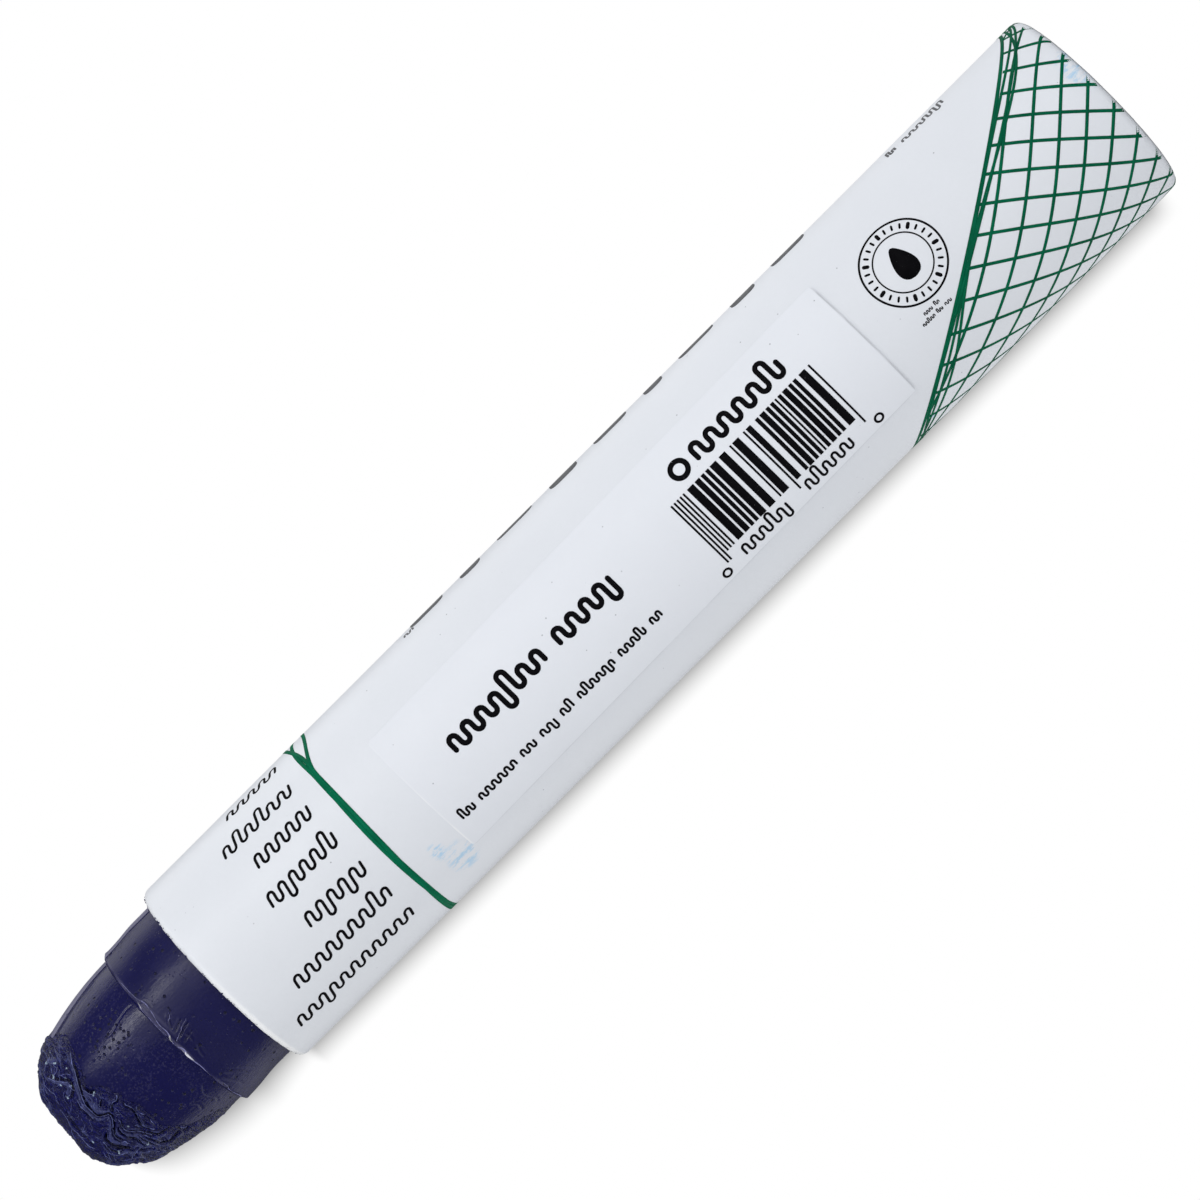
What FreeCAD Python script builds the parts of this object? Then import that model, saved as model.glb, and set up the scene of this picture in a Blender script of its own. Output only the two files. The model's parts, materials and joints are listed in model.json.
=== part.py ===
"""Solid paint marker: a moulded paint stick in a wrapped and labelled board tube.

The marker stands on the tube's cut back end. Z runs along the tube towards the nose, the origin is the
centre of that back end, and the label faces the front, -Y. Sizes are in millimetres and degrees.
"""

import FreeCAD, Part
import math
import os

import Sketcher

# Driving sizes: name, value and meaning
SIZES = (
    ("tube_length", 99.0, "board tube and wrap, cut end to cut end"),
    ("board_wall", 0.81, "wall of the wound board"),
    ("board_edge_chamfer", 0.12, "softened rims of the board's cut ends"),
    ("stick_clearance", 0.08, "gap all round between the stick and the bore"),
    ("glue_line", 0.02, "glue under the wrap and under the label"),
    ("wrap_thickness", 0.14, "printed paper of the wrap"),
    ("lap_width", 6.0, "overlap of the wrap's seam, along the curve"),
    ("lap_slope", 1.2, "stretch on which the wrap climbs over its own edge"),
    ("label_length", 50.0, "label, along the tube"),
    ("label_width", 12.7, "label, along the curve"),
    ("label_thickness", 0.1, "label paper"),
    ("label_corner_radius", 0.4, "die-cut corners of the label"),
    ("label_from_mouth", 22.0, "label's upper end to the mouth"),
    ("label_turn", -4.4, "label's middle about Z, away from the front"),
    ("label_skew", 0.9, "how far the label is stuck out of line"),
    ("stick_diameter", 16.2, "paint stick in the tube and at its collar"),
    ("stick_recess", 1.5, "stick's back end inside the tube's back end"),
    ("stick_back_chamfer", 0.4, "broken edge of the stick's back end"),
    ("collar_length", 5.5, "stick that stands out of the mouth, up to its shoulder"),
    ("collar_corner_radius", 0.35, "soft outer corner of the shoulder"),
    ("crease_radius", 0.2, "crease where the nose rises from the shoulder"),
    ("nose_diameter", 15.3, "nose at the shoulder"),
    ("nose_length", 12.24, "shoulder to the crown of the nose"),
    ("nose_side_radius", 28.6, "slow curve of the nose's side"),
    ("nose_edge_radius", 5.74, "rounding between the side and the crown"),
    ("nose_crown_radius", 40.0, "broad, nearly flat crown"),
    ("parting_angle", -18.0, "mould's parting line about Z, from +X"),
    ("parting_width", 0.16, "width of the parting line"),
    ("parting_depth", 0.1, "depth of the parting line"),
    ("parting_reach", 7.5, "how far the parting line runs up the nose"),
)

# The fits, worked outwards from the stick
BORE_RADIUS = "Sizes.stick_diameter / 2 + Sizes.stick_clearance"
BOARD_RADIUS = BORE_RADIUS + " + Sizes.board_wall"
WRAP_SEAT_RADIUS = BOARD_RADIUS + " + Sizes.glue_line"
WRAP_RADIUS = WRAP_SEAT_RADIUS + " + Sizes.wrap_thickness"
LAP_RADIUS = WRAP_RADIUS + " + Sizes.wrap_thickness"
LABEL_SEAT_RADIUS = WRAP_RADIUS + " + Sizes.glue_line"
LABEL_RADIUS = LABEL_SEAT_RADIUS + " + Sizes.label_thickness"

# Heights and widths that follow from the sizes
SHOULDER_HEIGHT = "Sizes.tube_length + Sizes.collar_length"
CROWN_HEIGHT = SHOULDER_HEIGHT + " + Sizes.nose_length"
LABEL_MIDDLE = "Sizes.tube_length - Sizes.label_from_mouth - Sizes.label_length / 2"
LABEL_CHORD = f"2 * ({LABEL_RADIUS}) * sin(Sizes.label_width / 2 / ({LABEL_RADIUS}) * 1 rad)"

# Numbers that stand for the points of a line or arc, and for the sketch's own axes and origin
START, END, CENTRE = range(1, 4)
VERTICAL_AXIS, HORIZONTAL_AXIS = range(-2, 0)
ORIGIN = (HORIZONTAL_AXIS, START)

doc = FreeCAD.newDocument("solid_paint_marker")
sheet = doc.addObject("Spreadsheet::Sheet", "Sizes")
for row, (alias, value, meaning) in enumerate(SIZES, start=1):
    sheet.set(f"A{row}", alias)
    sheet.set(f"B{row}", str(value))
    sheet.set(f"C{row}", meaning)
    sheet.setAlias(f"B{row}", alias)
doc.recompute()


def size(expression):
    """The present value of an expression in the sheet's sizes."""
    return float(sheet.evalExpression(expression))


def origin_feature(body, role):
    """One of a body's own origin planes or axes, such as XY_Plane."""
    for feature in body.Origin.OriginFeatures:
        if feature.Role == role:
            return feature
    raise ValueError(f"{body.Label} has no {role}")


def new_body(label):
    body = doc.addObject("PartDesign::Body", label)
    body.Label = label
    return body


def new_sketch(body, name, role):
    """A sketch on one of the body's origin planes."""
    sketch = body.newObject("Sketcher::SketchObject", name)
    sketch.AttachmentSupport = [(origin_feature(body, role), "")]
    sketch.MapMode = "FlatFace"
    return sketch


def bind(sketch, name, kind, where, expression):
    """Add a dimension to the sketch and tie it to the sheet."""
    index = sketch.addConstraint(Sketcher.Constraint(kind, *where, size(expression)))
    sketch.renameConstraint(index, name)
    sketch.setExpression("Constraints." + name, expression)


def turned_about(x, y, z):
    """A placement that sets the axis of a turn, whose angle is then tied to the sheet."""
    return FreeCAD.Placement(FreeCAD.Vector(), FreeCAD.Rotation(FreeCAD.Vector(x, y, z), 1))


def point(x, y):
    return FreeCAD.Vector(x, y, 0)


def add_line(sketch, start, end):
    return sketch.addGeometry(Part.LineSegment(point(*start), point(*end)))


def add_arc(sketch, centre, radius, start_angle, end_angle):
    """An arc that runs counter-clockwise between two angles in degrees."""
    circle = Part.Circle(point(*centre), FreeCAD.Vector(0, 0, 1), radius)
    arc = Part.ArcOfCircle(circle, math.radians(start_angle), math.radians(end_angle))
    return sketch.addGeometry(arc)


def add_circle(sketch, name, expression):
    """A circle about the sketch's origin, with its radius tied to the sheet."""
    circle = Part.Circle(point(0, 0), FreeCAD.Vector(0, 0, 1), size(expression))
    index = sketch.addGeometry(circle)
    sketch.addConstraint(Sketcher.Constraint("Coincident", index, CENTRE, *ORIGIN))
    bind(sketch, name, "Radius", (index,), expression)


def join(sketch, kind, first, first_end, second, second_end):
    """Join two ends, as Coincident or as Tangent."""
    sketch.addConstraint(Sketcher.Constraint(kind, first, first_end, second, second_end))


def level(sketch, *lines):
    for line in lines:
        sketch.addConstraint(Sketcher.Constraint("Horizontal", line))


def upright(sketch, *lines):
    for line in lines:
        sketch.addConstraint(Sketcher.Constraint("Vertical", line))


def pad(body, sketch, expression):
    feature = body.newObject("PartDesign::Pad", sketch.Name + "_pad")
    feature.Profile = sketch
    feature.setExpression("Length", expression)
    doc.recompute()
    return feature


def rims(feature, radius, height):
    """Names of the feature's circular edges of one radius at one height."""
    names = []
    for number, edge in enumerate(feature.Shape.Edges, start=1):
        if edge.Degenerated or not isinstance(edge.Curve, Part.Circle):
            continue
        curve = edge.Curve
        if abs(curve.Radius - radius) < 1e-4 and abs(curve.Center.z - height) < 1e-4:
            names.append(f"Edge{number}")
    if not names:
        raise ValueError(f"{feature.Name} has no edge of radius {radius} at {height}")
    return names


def dress(body, kind, name, base, edges, dimension, expression):
    """A fillet or chamfer on named edges of the base feature."""
    feature = body.newObject("PartDesign::" + kind, name)
    feature.Base = (base, edges)
    feature.setExpression(dimension, expression)
    doc.recompute()
    return feature


def require_cut(feature, before):
    """Stop if a cutting feature has removed nothing."""
    if feature.Shape.Volume > before - 1e-3:
        raise ValueError(f"{feature.Name} cuts nothing")


def circle_meeting(first, first_distance, second, second_distance):
    """The point right of two centres that lies at a given distance from each."""
    across = (second[0] - first[0], second[1] - first[1])
    apart = math.hypot(*across)
    along = (first_distance**2 - second_distance**2 + apart**2) / (2 * apart)
    aside = math.sqrt(first_distance**2 - along**2)
    unit = (across[0] / apart, across[1] / apart)
    meetings = [
        (first[0] + along * unit[0] + side * unit[1], first[1] + along * unit[1] - side * unit[0])
        for side in (aside, -aside)
    ]
    return max(meetings)


def bearing(centre, target):
    """Direction from one point to another, in degrees."""
    return math.degrees(math.atan2(target[1] - centre[1], target[0] - centre[0]))


# Paint stick

def draw_stick_profile(sketch):
    """Half section of the stick: body, collar, shoulder, and a nose of three tangent arcs."""
    outside = size("Sizes.stick_diameter / 2")
    bottom = size("Sizes.stick_recess")
    shoulder = size(SHOULDER_HEIGHT)
    crown = size(CROWN_HEIGHT)
    nose = size("Sizes.nose_diameter / 2")
    side_radius = size("Sizes.nose_side_radius")
    edge_radius = size("Sizes.nose_edge_radius")
    crown_radius = size("Sizes.nose_crown_radius")
    side_centre = (nose - side_radius, shoulder)
    crown_centre = (0, crown - crown_radius)
    edge_centre = circle_meeting(
        side_centre, side_radius - edge_radius, crown_centre, crown_radius - edge_radius
    )
    side_angle = bearing(side_centre, edge_centre)
    crown_angle = bearing(crown_centre, edge_centre)

    axis = add_line(sketch, (0, crown), (0, bottom))
    back = add_line(sketch, (0, bottom), (outside, bottom))
    collar = add_line(sketch, (outside, bottom), (outside, shoulder))
    land = add_line(sketch, (outside, shoulder), (nose, shoulder))
    side = add_arc(sketch, side_centre, side_radius, 0, side_angle)
    edge = add_arc(sketch, edge_centre, edge_radius, side_angle, crown_angle)
    top = add_arc(sketch, crown_centre, crown_radius, crown_angle, 90)

    join(sketch, "Coincident", axis, END, back, START)
    join(sketch, "Coincident", back, END, collar, START)
    join(sketch, "Coincident", collar, END, land, START)
    join(sketch, "Coincident", land, END, side, START)
    join(sketch, "Tangent", side, END, edge, START)
    join(sketch, "Tangent", edge, END, top, START)
    join(sketch, "Coincident", top, END, axis, START)
    upright(sketch, axis, collar)
    level(sketch, back, land)
    for end in ((axis, START), (top, CENTRE)):
        sketch.addConstraint(Sketcher.Constraint("PointOnObject", *end, VERTICAL_AXIS))

    bind(sketch, "body_radius", "DistanceX", (*ORIGIN, back, END), "Sizes.stick_diameter / 2")
    bind(sketch, "back_height", "DistanceY", (*ORIGIN, back, END), "Sizes.stick_recess")
    bind(sketch, "shoulder_height", "DistanceY", (*ORIGIN, land, START), SHOULDER_HEIGHT)
    bind(sketch, "side_centre_height", "DistanceY", (*ORIGIN, side, CENTRE), SHOULDER_HEIGHT)
    bind(sketch, "nose_radius", "DistanceX", (*ORIGIN, land, END), "Sizes.nose_diameter / 2")
    bind(sketch, "crown_height", "DistanceY", (*ORIGIN, axis, START), CROWN_HEIGHT)
    bind(sketch, "side_radius", "Radius", (side,), "Sizes.nose_side_radius")
    bind(sketch, "edge_radius", "Radius", (edge,), "Sizes.nose_edge_radius")
    bind(sketch, "crown_radius", "Radius", (top,), "Sizes.nose_crown_radius")


def draw_parting_slot(sketch):
    """Slot that follows the body, the shoulder and the nose's side, one groove depth below them."""
    depth = size("Sizes.parting_depth")
    outside = size("Sizes.stick_diameter / 2")
    clear = size("Sizes.stick_diameter / 2 + Sizes.stick_clearance")
    bottom = size("Sizes.stick_recess")
    shoulder = size(SHOULDER_HEIGHT)
    reach = size(f"{SHOULDER_HEIGHT} + Sizes.parting_reach")
    radius = size("Sizes.nose_side_radius - Sizes.parting_depth")
    centre = (size("Sizes.nose_diameter / 2 - Sizes.nose_side_radius"), shoulder)
    low_angle = -math.degrees(math.asin(depth / radius))
    high_angle = math.degrees(math.asin((reach - shoulder) / radius))
    root = centre[0] + radius * math.cos(math.radians(low_angle))
    tip = centre[0] + radius * math.cos(math.radians(high_angle))

    foot = add_line(sketch, (outside - depth, bottom), (clear, bottom))
    outer = add_line(sketch, (clear, bottom), (clear, reach))
    head = add_line(sketch, (clear, reach), (tip, reach))
    side = add_arc(sketch, centre, radius, low_angle, high_angle)
    land = add_line(sketch, (root, shoulder - depth), (outside - depth, shoulder - depth))
    collar = add_line(sketch, (outside - depth, shoulder - depth), (outside - depth, bottom))

    join(sketch, "Coincident", foot, END, outer, START)
    join(sketch, "Coincident", outer, END, head, START)
    join(sketch, "Coincident", head, END, side, END)
    join(sketch, "Coincident", side, START, land, START)
    join(sketch, "Coincident", land, END, collar, START)
    join(sketch, "Coincident", collar, END, foot, START)
    level(sketch, foot, head, land)
    upright(sketch, outer, collar)

    floor = "Sizes.stick_diameter / 2 - Sizes.parting_depth"
    centre_offset = "Sizes.nose_side_radius - Sizes.nose_diameter / 2"
    groove_radius = "Sizes.nose_side_radius - Sizes.parting_depth"
    head_height = f"{SHOULDER_HEIGHT} + Sizes.parting_reach"
    land_height = f"{SHOULDER_HEIGHT} - Sizes.parting_depth"
    bind(sketch, "foot_height", "DistanceY", (*ORIGIN, foot, START), "Sizes.stick_recess")
    bind(sketch, "groove_floor", "DistanceX", (*ORIGIN, foot, START), floor)
    bind(sketch, "outer_side", "DistanceX", (*ORIGIN, outer, START), BORE_RADIUS)
    bind(sketch, "reach", "DistanceY", (*ORIGIN, head, START), head_height)
    bind(sketch, "land_floor", "DistanceY", (*ORIGIN, land, START), land_height)
    bind(sketch, "centre_height", "DistanceY", (*ORIGIN, side, CENTRE), SHOULDER_HEIGHT)
    bind(sketch, "centre_side", "DistanceX", (side, CENTRE, *ORIGIN), centre_offset)
    bind(sketch, "side_radius", "Radius", (side,), groove_radius)


def make_paint_stick():
    """The moulded stick, with the two parting lines that its mould leaves."""
    body = new_body("paint_stick")
    profile = new_sketch(body, "stick_profile", "XZ_Plane")
    draw_stick_profile(profile)
    turned = body.newObject("PartDesign::Revolution", "stick_turned")
    turned.Profile = profile
    turned.ReferenceAxis = (origin_feature(body, "Z_Axis"), [""])
    turned.Angle = 360
    doc.recompute()

    back = rims(turned, size("Sizes.stick_diameter / 2"), size("Sizes.stick_recess"))
    broken = dress(body, "Chamfer", "back_edge", turned, back, "Size", "Sizes.stick_back_chamfer")
    corner = rims(broken, size("Sizes.stick_diameter / 2"), size(SHOULDER_HEIGHT))
    soft = dress(body, "Fillet", "collar_corner", broken, corner, "Radius", "Sizes.collar_corner_radius")
    root = rims(soft, size("Sizes.nose_diameter / 2"), size(SHOULDER_HEIGHT))
    creased = dress(body, "Fillet", "shoulder_crease", soft, root, "Radius", "Sizes.crease_radius")

    slot = new_sketch(body, "parting_slot", "XZ_Plane")
    slot.AttachmentOffset = turned_about(0, 1, 0)
    slot.setExpression(".AttachmentOffset.Rotation.Angle", "Sizes.parting_angle")
    draw_parting_slot(slot)
    groove = body.newObject("PartDesign::Pocket", "parting_groove")
    groove.Profile = slot
    groove.SideType = "Symmetric"
    groove.setExpression("Length", "Sizes.parting_width")
    doc.recompute()
    require_cut(groove, creased.Shape.Volume)

    pair = body.newObject("PartDesign::PolarPattern", "parting_pair")
    pair.Originals = [groove]
    pair.Axis = (origin_feature(body, "Z_Axis"), [""])
    pair.Angle = 360
    pair.Occurrences = 2
    body.Tip = pair
    doc.recompute()
    require_cut(pair, groove.Shape.Volume)
    return body


# Board tube

def make_board_tube():
    """The wound board, cut square at both ends, with its rims a little softened."""
    body = new_body("board_tube")
    section = new_sketch(body, "board_section", "XY_Plane")
    add_circle(section, "bore_radius", BORE_RADIUS)
    add_circle(section, "board_radius", BOARD_RADIUS)
    wound = pad(body, section, "Sizes.tube_length")
    edges = []
    for radius in (BORE_RADIUS, BOARD_RADIUS):
        for height in ("0", "Sizes.tube_length"):
            edges += rims(wound, size(radius), size(height))
    dress(body, "Chamfer", "softened_rims", wound, edges, "Size", "Sizes.board_edge_chamfer")
    return body


# Printed wrap

def draw_wrap_section(sketch):
    """Section of the paper: one turn whose free edge laps over its own start, at the back (+Y)."""
    radius = size(WRAP_RADIUS)
    lap_radius = size(LAP_RADIUS)
    half_lap = size(f"Sizes.lap_width / 2 / ({LAP_RADIUS}) * 180 / pi")
    slope = size(f"Sizes.lap_slope / ({WRAP_RADIUS}) * 180 / pi")

    def around(distance, angle):
        return (distance * math.cos(math.radians(angle)), distance * math.sin(math.radians(angle)))

    add_circle(sketch, "wrap_seat_radius", WRAP_SEAT_RADIUS)
    turn = add_arc(sketch, (0, 0), radius, 90 + half_lap, 450 - half_lap - slope)
    climb = add_line(sketch, around(radius, 90 - half_lap - slope), around(lap_radius, 90 - half_lap))
    lap = add_arc(sketch, (0, 0), lap_radius, 90 - half_lap, 90 + half_lap)
    free_edge = add_line(sketch, around(lap_radius, 90 + half_lap), around(radius, 90 + half_lap))

    join(sketch, "Coincident", turn, END, climb, START)
    join(sketch, "Coincident", climb, END, lap, START)
    join(sketch, "Coincident", lap, END, free_edge, START)
    join(sketch, "Coincident", free_edge, END, turn, START)
    for arc in (turn, lap):
        sketch.addConstraint(Sketcher.Constraint("Coincident", arc, CENTRE, *ORIGIN))
    bind(sketch, "wrap_radius", "Radius", (turn,), WRAP_RADIUS)
    bind(sketch, "lap_radius", "Radius", (lap,), LAP_RADIUS)

    lap_angle = f"Sizes.lap_width / 2 / ({LAP_RADIUS}) * 1 rad"
    climb_angle = f"{lap_angle} + Sizes.lap_slope / ({WRAP_RADIUS}) * 1 rad"
    lap_reach = f"({LAP_RADIUS}) * sin({lap_angle})"
    foot_reach = f"({WRAP_RADIUS}) * sin({lap_angle})"
    climb_reach = f"({WRAP_RADIUS}) * sin({climb_angle})"
    bind(sketch, "free_edge_top", "DistanceX", (lap, END, *ORIGIN), lap_reach)
    bind(sketch, "free_edge_foot", "DistanceX", (turn, START, *ORIGIN), foot_reach)
    bind(sketch, "climb_top", "DistanceX", (*ORIGIN, lap, START), lap_reach)
    bind(sketch, "climb_foot", "DistanceX", (*ORIGIN, climb, START), climb_reach)


def make_printed_wrap():
    """The printed paper glued round the board, flush with both of its ends."""
    body = new_body("printed_wrap")
    section = new_sketch(body, "wrap_section", "XY_Plane")
    draw_wrap_section(section)
    pad(body, section, "Sizes.tube_length")
    return body


# Stuck label

def draw_front_half_ring(sketch):
    """Section of the label paper, bent round the front half of the wrap."""
    inside = size(LABEL_SEAT_RADIUS)
    outside = size(LABEL_RADIUS)
    inner = add_arc(sketch, (0, 0), inside, 180, 360)
    outer = add_arc(sketch, (0, 0), outside, 180, 360)
    right = add_line(sketch, (inside, 0), (outside, 0))
    left = add_line(sketch, (-outside, 0), (-inside, 0))
    join(sketch, "Coincident", inner, END, right, START)
    join(sketch, "Coincident", right, END, outer, END)
    join(sketch, "Coincident", outer, START, left, START)
    join(sketch, "Coincident", left, END, inner, START)
    for arc in (inner, outer):
        sketch.addConstraint(Sketcher.Constraint("Coincident", arc, CENTRE, *ORIGIN))
        sketch.addConstraint(Sketcher.Constraint("PointOnObject", arc, START, HORIZONTAL_AXIS))
        sketch.addConstraint(Sketcher.Constraint("PointOnObject", arc, END, HORIZONTAL_AXIS))
    bind(sketch, "label_seat_radius", "Radius", (inner,), LABEL_SEAT_RADIUS)
    bind(sketch, "label_radius", "Radius", (outer,), LABEL_RADIUS)


def draw_rectangle(sketch, name, width, height):
    """A rectangle about the sketch's origin."""
    x = size(width) / 2
    y = size(height) / 2
    corners = ((-x, -y), (x, -y), (x, y), (-x, y))
    lines = [add_line(sketch, corners[i], corners[(i + 1) % 4]) for i in range(4)]
    for i in range(4):
        join(sketch, "Coincident", lines[i], END, lines[(i + 1) % 4], START)
    level(sketch, lines[0], lines[2])
    upright(sketch, lines[1], lines[3])
    sketch.addConstraint(Sketcher.Constraint("Symmetric", lines[0], START, lines[2], START, *ORIGIN))
    bind(sketch, name + "_width", "DistanceX", (lines[0], START, lines[0], END), width)
    bind(sketch, name + "_height", "DistanceY", (lines[1], START, lines[1], END), height)


def draw_rounded_rectangle(sketch, name, width, height, radius):
    """A rectangle with rounded corners about the sketch's origin."""
    x = size(width) / 2
    y = size(height) / 2
    r = size(radius)
    lines = [
        add_line(sketch, (r - x, -y), (x - r, -y)),
        add_line(sketch, (x, r - y), (x, y - r)),
        add_line(sketch, (x - r, y), (r - x, y)),
        add_line(sketch, (-x, y - r), (-x, r - y)),
    ]
    centres = ((x - r, r - y), (x - r, y - r), (r - x, y - r), (r - x, r - y))
    arcs = [add_arc(sketch, centres[i], r, 90 * i - 90, 90 * i) for i in range(4)]
    for i in range(4):
        join(sketch, "Tangent", lines[i], END, arcs[i], START)
        join(sketch, "Tangent", arcs[i], END, lines[(i + 1) % 4], START)
    level(sketch, lines[0], lines[2])
    upright(sketch, lines[1], lines[3])
    for arc in arcs[1:]:
        sketch.addConstraint(Sketcher.Constraint("Equal", arcs[0], arc))
    sketch.addConstraint(Sketcher.Constraint("Symmetric", lines[0], START, lines[2], START, *ORIGIN))
    bind(sketch, name + "_radius", "Radius", (arcs[0],), radius)
    bind(sketch, name + "_width", "DistanceX", (lines[3], START, lines[1], START), width)
    bind(sketch, name + "_height", "DistanceY", (lines[0], START, lines[2], END), height)


def make_stuck_label():
    """The die-cut label: paper bent round the wrap, trimmed to its rounded outline from the front."""
    body = new_body("stuck_label")
    blank_length = "Sizes.label_length + Sizes.label_width"
    section = new_sketch(body, "label_bend", "XY_Plane")
    section.setExpression(".AttachmentOffset.Base.z", f"{LABEL_MIDDLE} - ({blank_length}) / 2")
    draw_front_half_ring(section)
    blank = pad(body, section, blank_length)

    outline = new_sketch(body, "label_outline", "XZ_Plane")
    outline.AttachmentOffset = turned_about(0, 0, 1)
    outline.setExpression(".AttachmentOffset.Base.y", LABEL_MIDDLE)
    outline.setExpression(".AttachmentOffset.Rotation.Angle", "Sizes.label_skew")
    draw_rectangle(outline, "offcut", f"4 * ({LABEL_RADIUS})", f"2 * ({blank_length})")
    draw_rounded_rectangle(outline, "label", LABEL_CHORD, "Sizes.label_length", "Sizes.label_corner_radius")
    trim = body.newObject("PartDesign::Pocket", "label_trim")
    trim.Profile = outline
    trim.Type = "ThroughAll"
    trim.SideType = "Symmetric"
    doc.recompute()
    require_cut(trim, blank.Shape.Volume)

    body.Placement = turned_about(0, 0, 1)
    body.setExpression(".Placement.Rotation.Angle", "Sizes.label_turn")
    doc.recompute()
    return body


def check(bodies):
    """Stop if any object has failed or any piece isn't one valid solid."""
    for item in doc.Objects:
        if "Invalid" in item.State or "Error" in item.State:
            raise ValueError(f"{item.Name} failed: {item.State}")
    for body in bodies:
        shape = body.Shape
        if shape.isNull() or not shape.isValid() or len(shape.Solids) != 1:
            raise ValueError(f"{body.Label} isn't one valid solid")


pieces = [make_paint_stick(), make_board_tube(), make_printed_wrap(), make_stuck_label()]
doc.recompute()
check(pieces)

os.makedirs("parts", exist_ok=True)
for piece in pieces:
    piece.Shape.exportStep(f"parts/{piece.Label}.step")
    box = piece.Shape.BoundBox
    print(f"{piece.Label}: {piece.Shape.Volume:.1f} mm3, z {box.ZMin:.2f} to {box.ZMax:.2f}")
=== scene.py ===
"""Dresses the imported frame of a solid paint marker: a stick of dark blue paint in a printed paper sleeve.

Sizes are in metres. +Z runs along the sleeve to the nose of the stick, and the label is on the side of -Y.
Print is drawn flat first: x is the distance round the paper from the front line, towards +X, and y is the
height. Geometry nodes then roll the drawing on to the paper.
"""

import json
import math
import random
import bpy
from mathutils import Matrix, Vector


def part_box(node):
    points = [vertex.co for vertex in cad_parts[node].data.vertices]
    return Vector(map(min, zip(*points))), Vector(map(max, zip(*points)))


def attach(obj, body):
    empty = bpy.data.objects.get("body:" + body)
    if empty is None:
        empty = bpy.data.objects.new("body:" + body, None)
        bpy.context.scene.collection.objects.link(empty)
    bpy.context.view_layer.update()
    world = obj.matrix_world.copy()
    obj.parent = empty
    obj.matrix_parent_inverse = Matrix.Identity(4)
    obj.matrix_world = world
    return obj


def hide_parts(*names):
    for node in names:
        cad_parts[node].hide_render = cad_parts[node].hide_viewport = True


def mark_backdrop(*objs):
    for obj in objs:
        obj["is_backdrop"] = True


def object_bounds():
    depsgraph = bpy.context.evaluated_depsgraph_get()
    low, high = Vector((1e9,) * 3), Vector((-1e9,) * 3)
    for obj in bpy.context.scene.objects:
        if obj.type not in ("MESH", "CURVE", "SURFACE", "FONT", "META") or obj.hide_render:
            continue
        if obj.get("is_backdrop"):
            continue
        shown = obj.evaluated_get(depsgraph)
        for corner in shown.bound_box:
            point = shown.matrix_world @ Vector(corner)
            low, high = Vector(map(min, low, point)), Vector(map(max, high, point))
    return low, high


bl_info = {
    "name": "Solid Paint Marker",
    "version": (1, 0, 0),
    "blender": (4, 5, 0),
    "location": "View3D > Sidebar > Marker",
    "description": "Builds the paint stick, print and papers of a solid paint marker round its packed frame",
    "category": "Object",
}

from itertools import product

import bpy
import numpy as np
from mathutils import Matrix, Vector

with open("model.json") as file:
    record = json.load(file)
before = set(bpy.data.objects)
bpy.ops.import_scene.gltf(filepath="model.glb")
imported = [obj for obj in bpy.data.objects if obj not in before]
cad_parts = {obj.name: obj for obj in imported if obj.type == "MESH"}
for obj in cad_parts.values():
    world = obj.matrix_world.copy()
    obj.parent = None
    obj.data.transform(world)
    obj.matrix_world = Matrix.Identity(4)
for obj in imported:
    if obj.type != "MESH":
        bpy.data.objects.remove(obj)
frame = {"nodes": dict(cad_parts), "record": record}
CAD_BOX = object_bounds()

MM = 0.001
SLEEVE_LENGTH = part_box("board_tube")[1].z
WRAP_RADIUS = next(m for m in frame["record"]["mounts"] if m["kind"] == "pin")["dims"]["r_mm"] * MM
LABEL_RADIUS = -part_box("stuck_label")[0].y
LABEL_MIDDLE = (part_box("stuck_label")[0].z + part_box("stuck_label")[1].z) / 2
STICK_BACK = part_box("paint_stick")[0].z
STICK_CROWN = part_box("paint_stick")[1].z
STICK_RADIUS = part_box("paint_stick")[1].y

# The stick keeps its plain radius up to this far above the mouth, so that it can be pushed in
PLAIN_REACH = 1.6 * MM
# How far the label and its print stand off the front line, towards +X, and how far they are out of line
LABEL_TURN, PRINT_TURN, LABEL_SKEW = (math.radians(degrees) for degrees in (-4.4, -4.1, 0.9))


# Sizes and colours

def length(name, default, description):
    """A size in metres that a user may change."""
    return bpy.props.FloatProperty(
        name=name, description=description, default=default, min=0.0, precision=5,
        subtype="DISTANCE", unit="LENGTH",
    )


def colour(name, default, description):
    """A colour that a user may change, as light's own values."""
    return bpy.props.FloatVectorProperty(
        name=name, description=description, default=default, min=0.0, max=1.0, size=3, subtype="COLOR"
    )


def share(name, default, description, highest=1.0):
    """A plain share or strength that a user may change."""
    return bpy.props.FloatProperty(
        name=name, description=description, default=default, min=0.0, max=highest, subtype="FACTOR"
    )


def angle(name, default, description):
    """An angle that a user may change, given in degrees and kept in radians."""
    return bpy.props.FloatProperty(
        name=name, description=description, default=math.radians(default), subtype="ANGLE", unit="ROTATION"
    )


def whole(name, default, description, lowest):
    """A whole number that a user may change."""
    return bpy.props.IntProperty(name=name, description=description, default=default, min=lowest)


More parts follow.
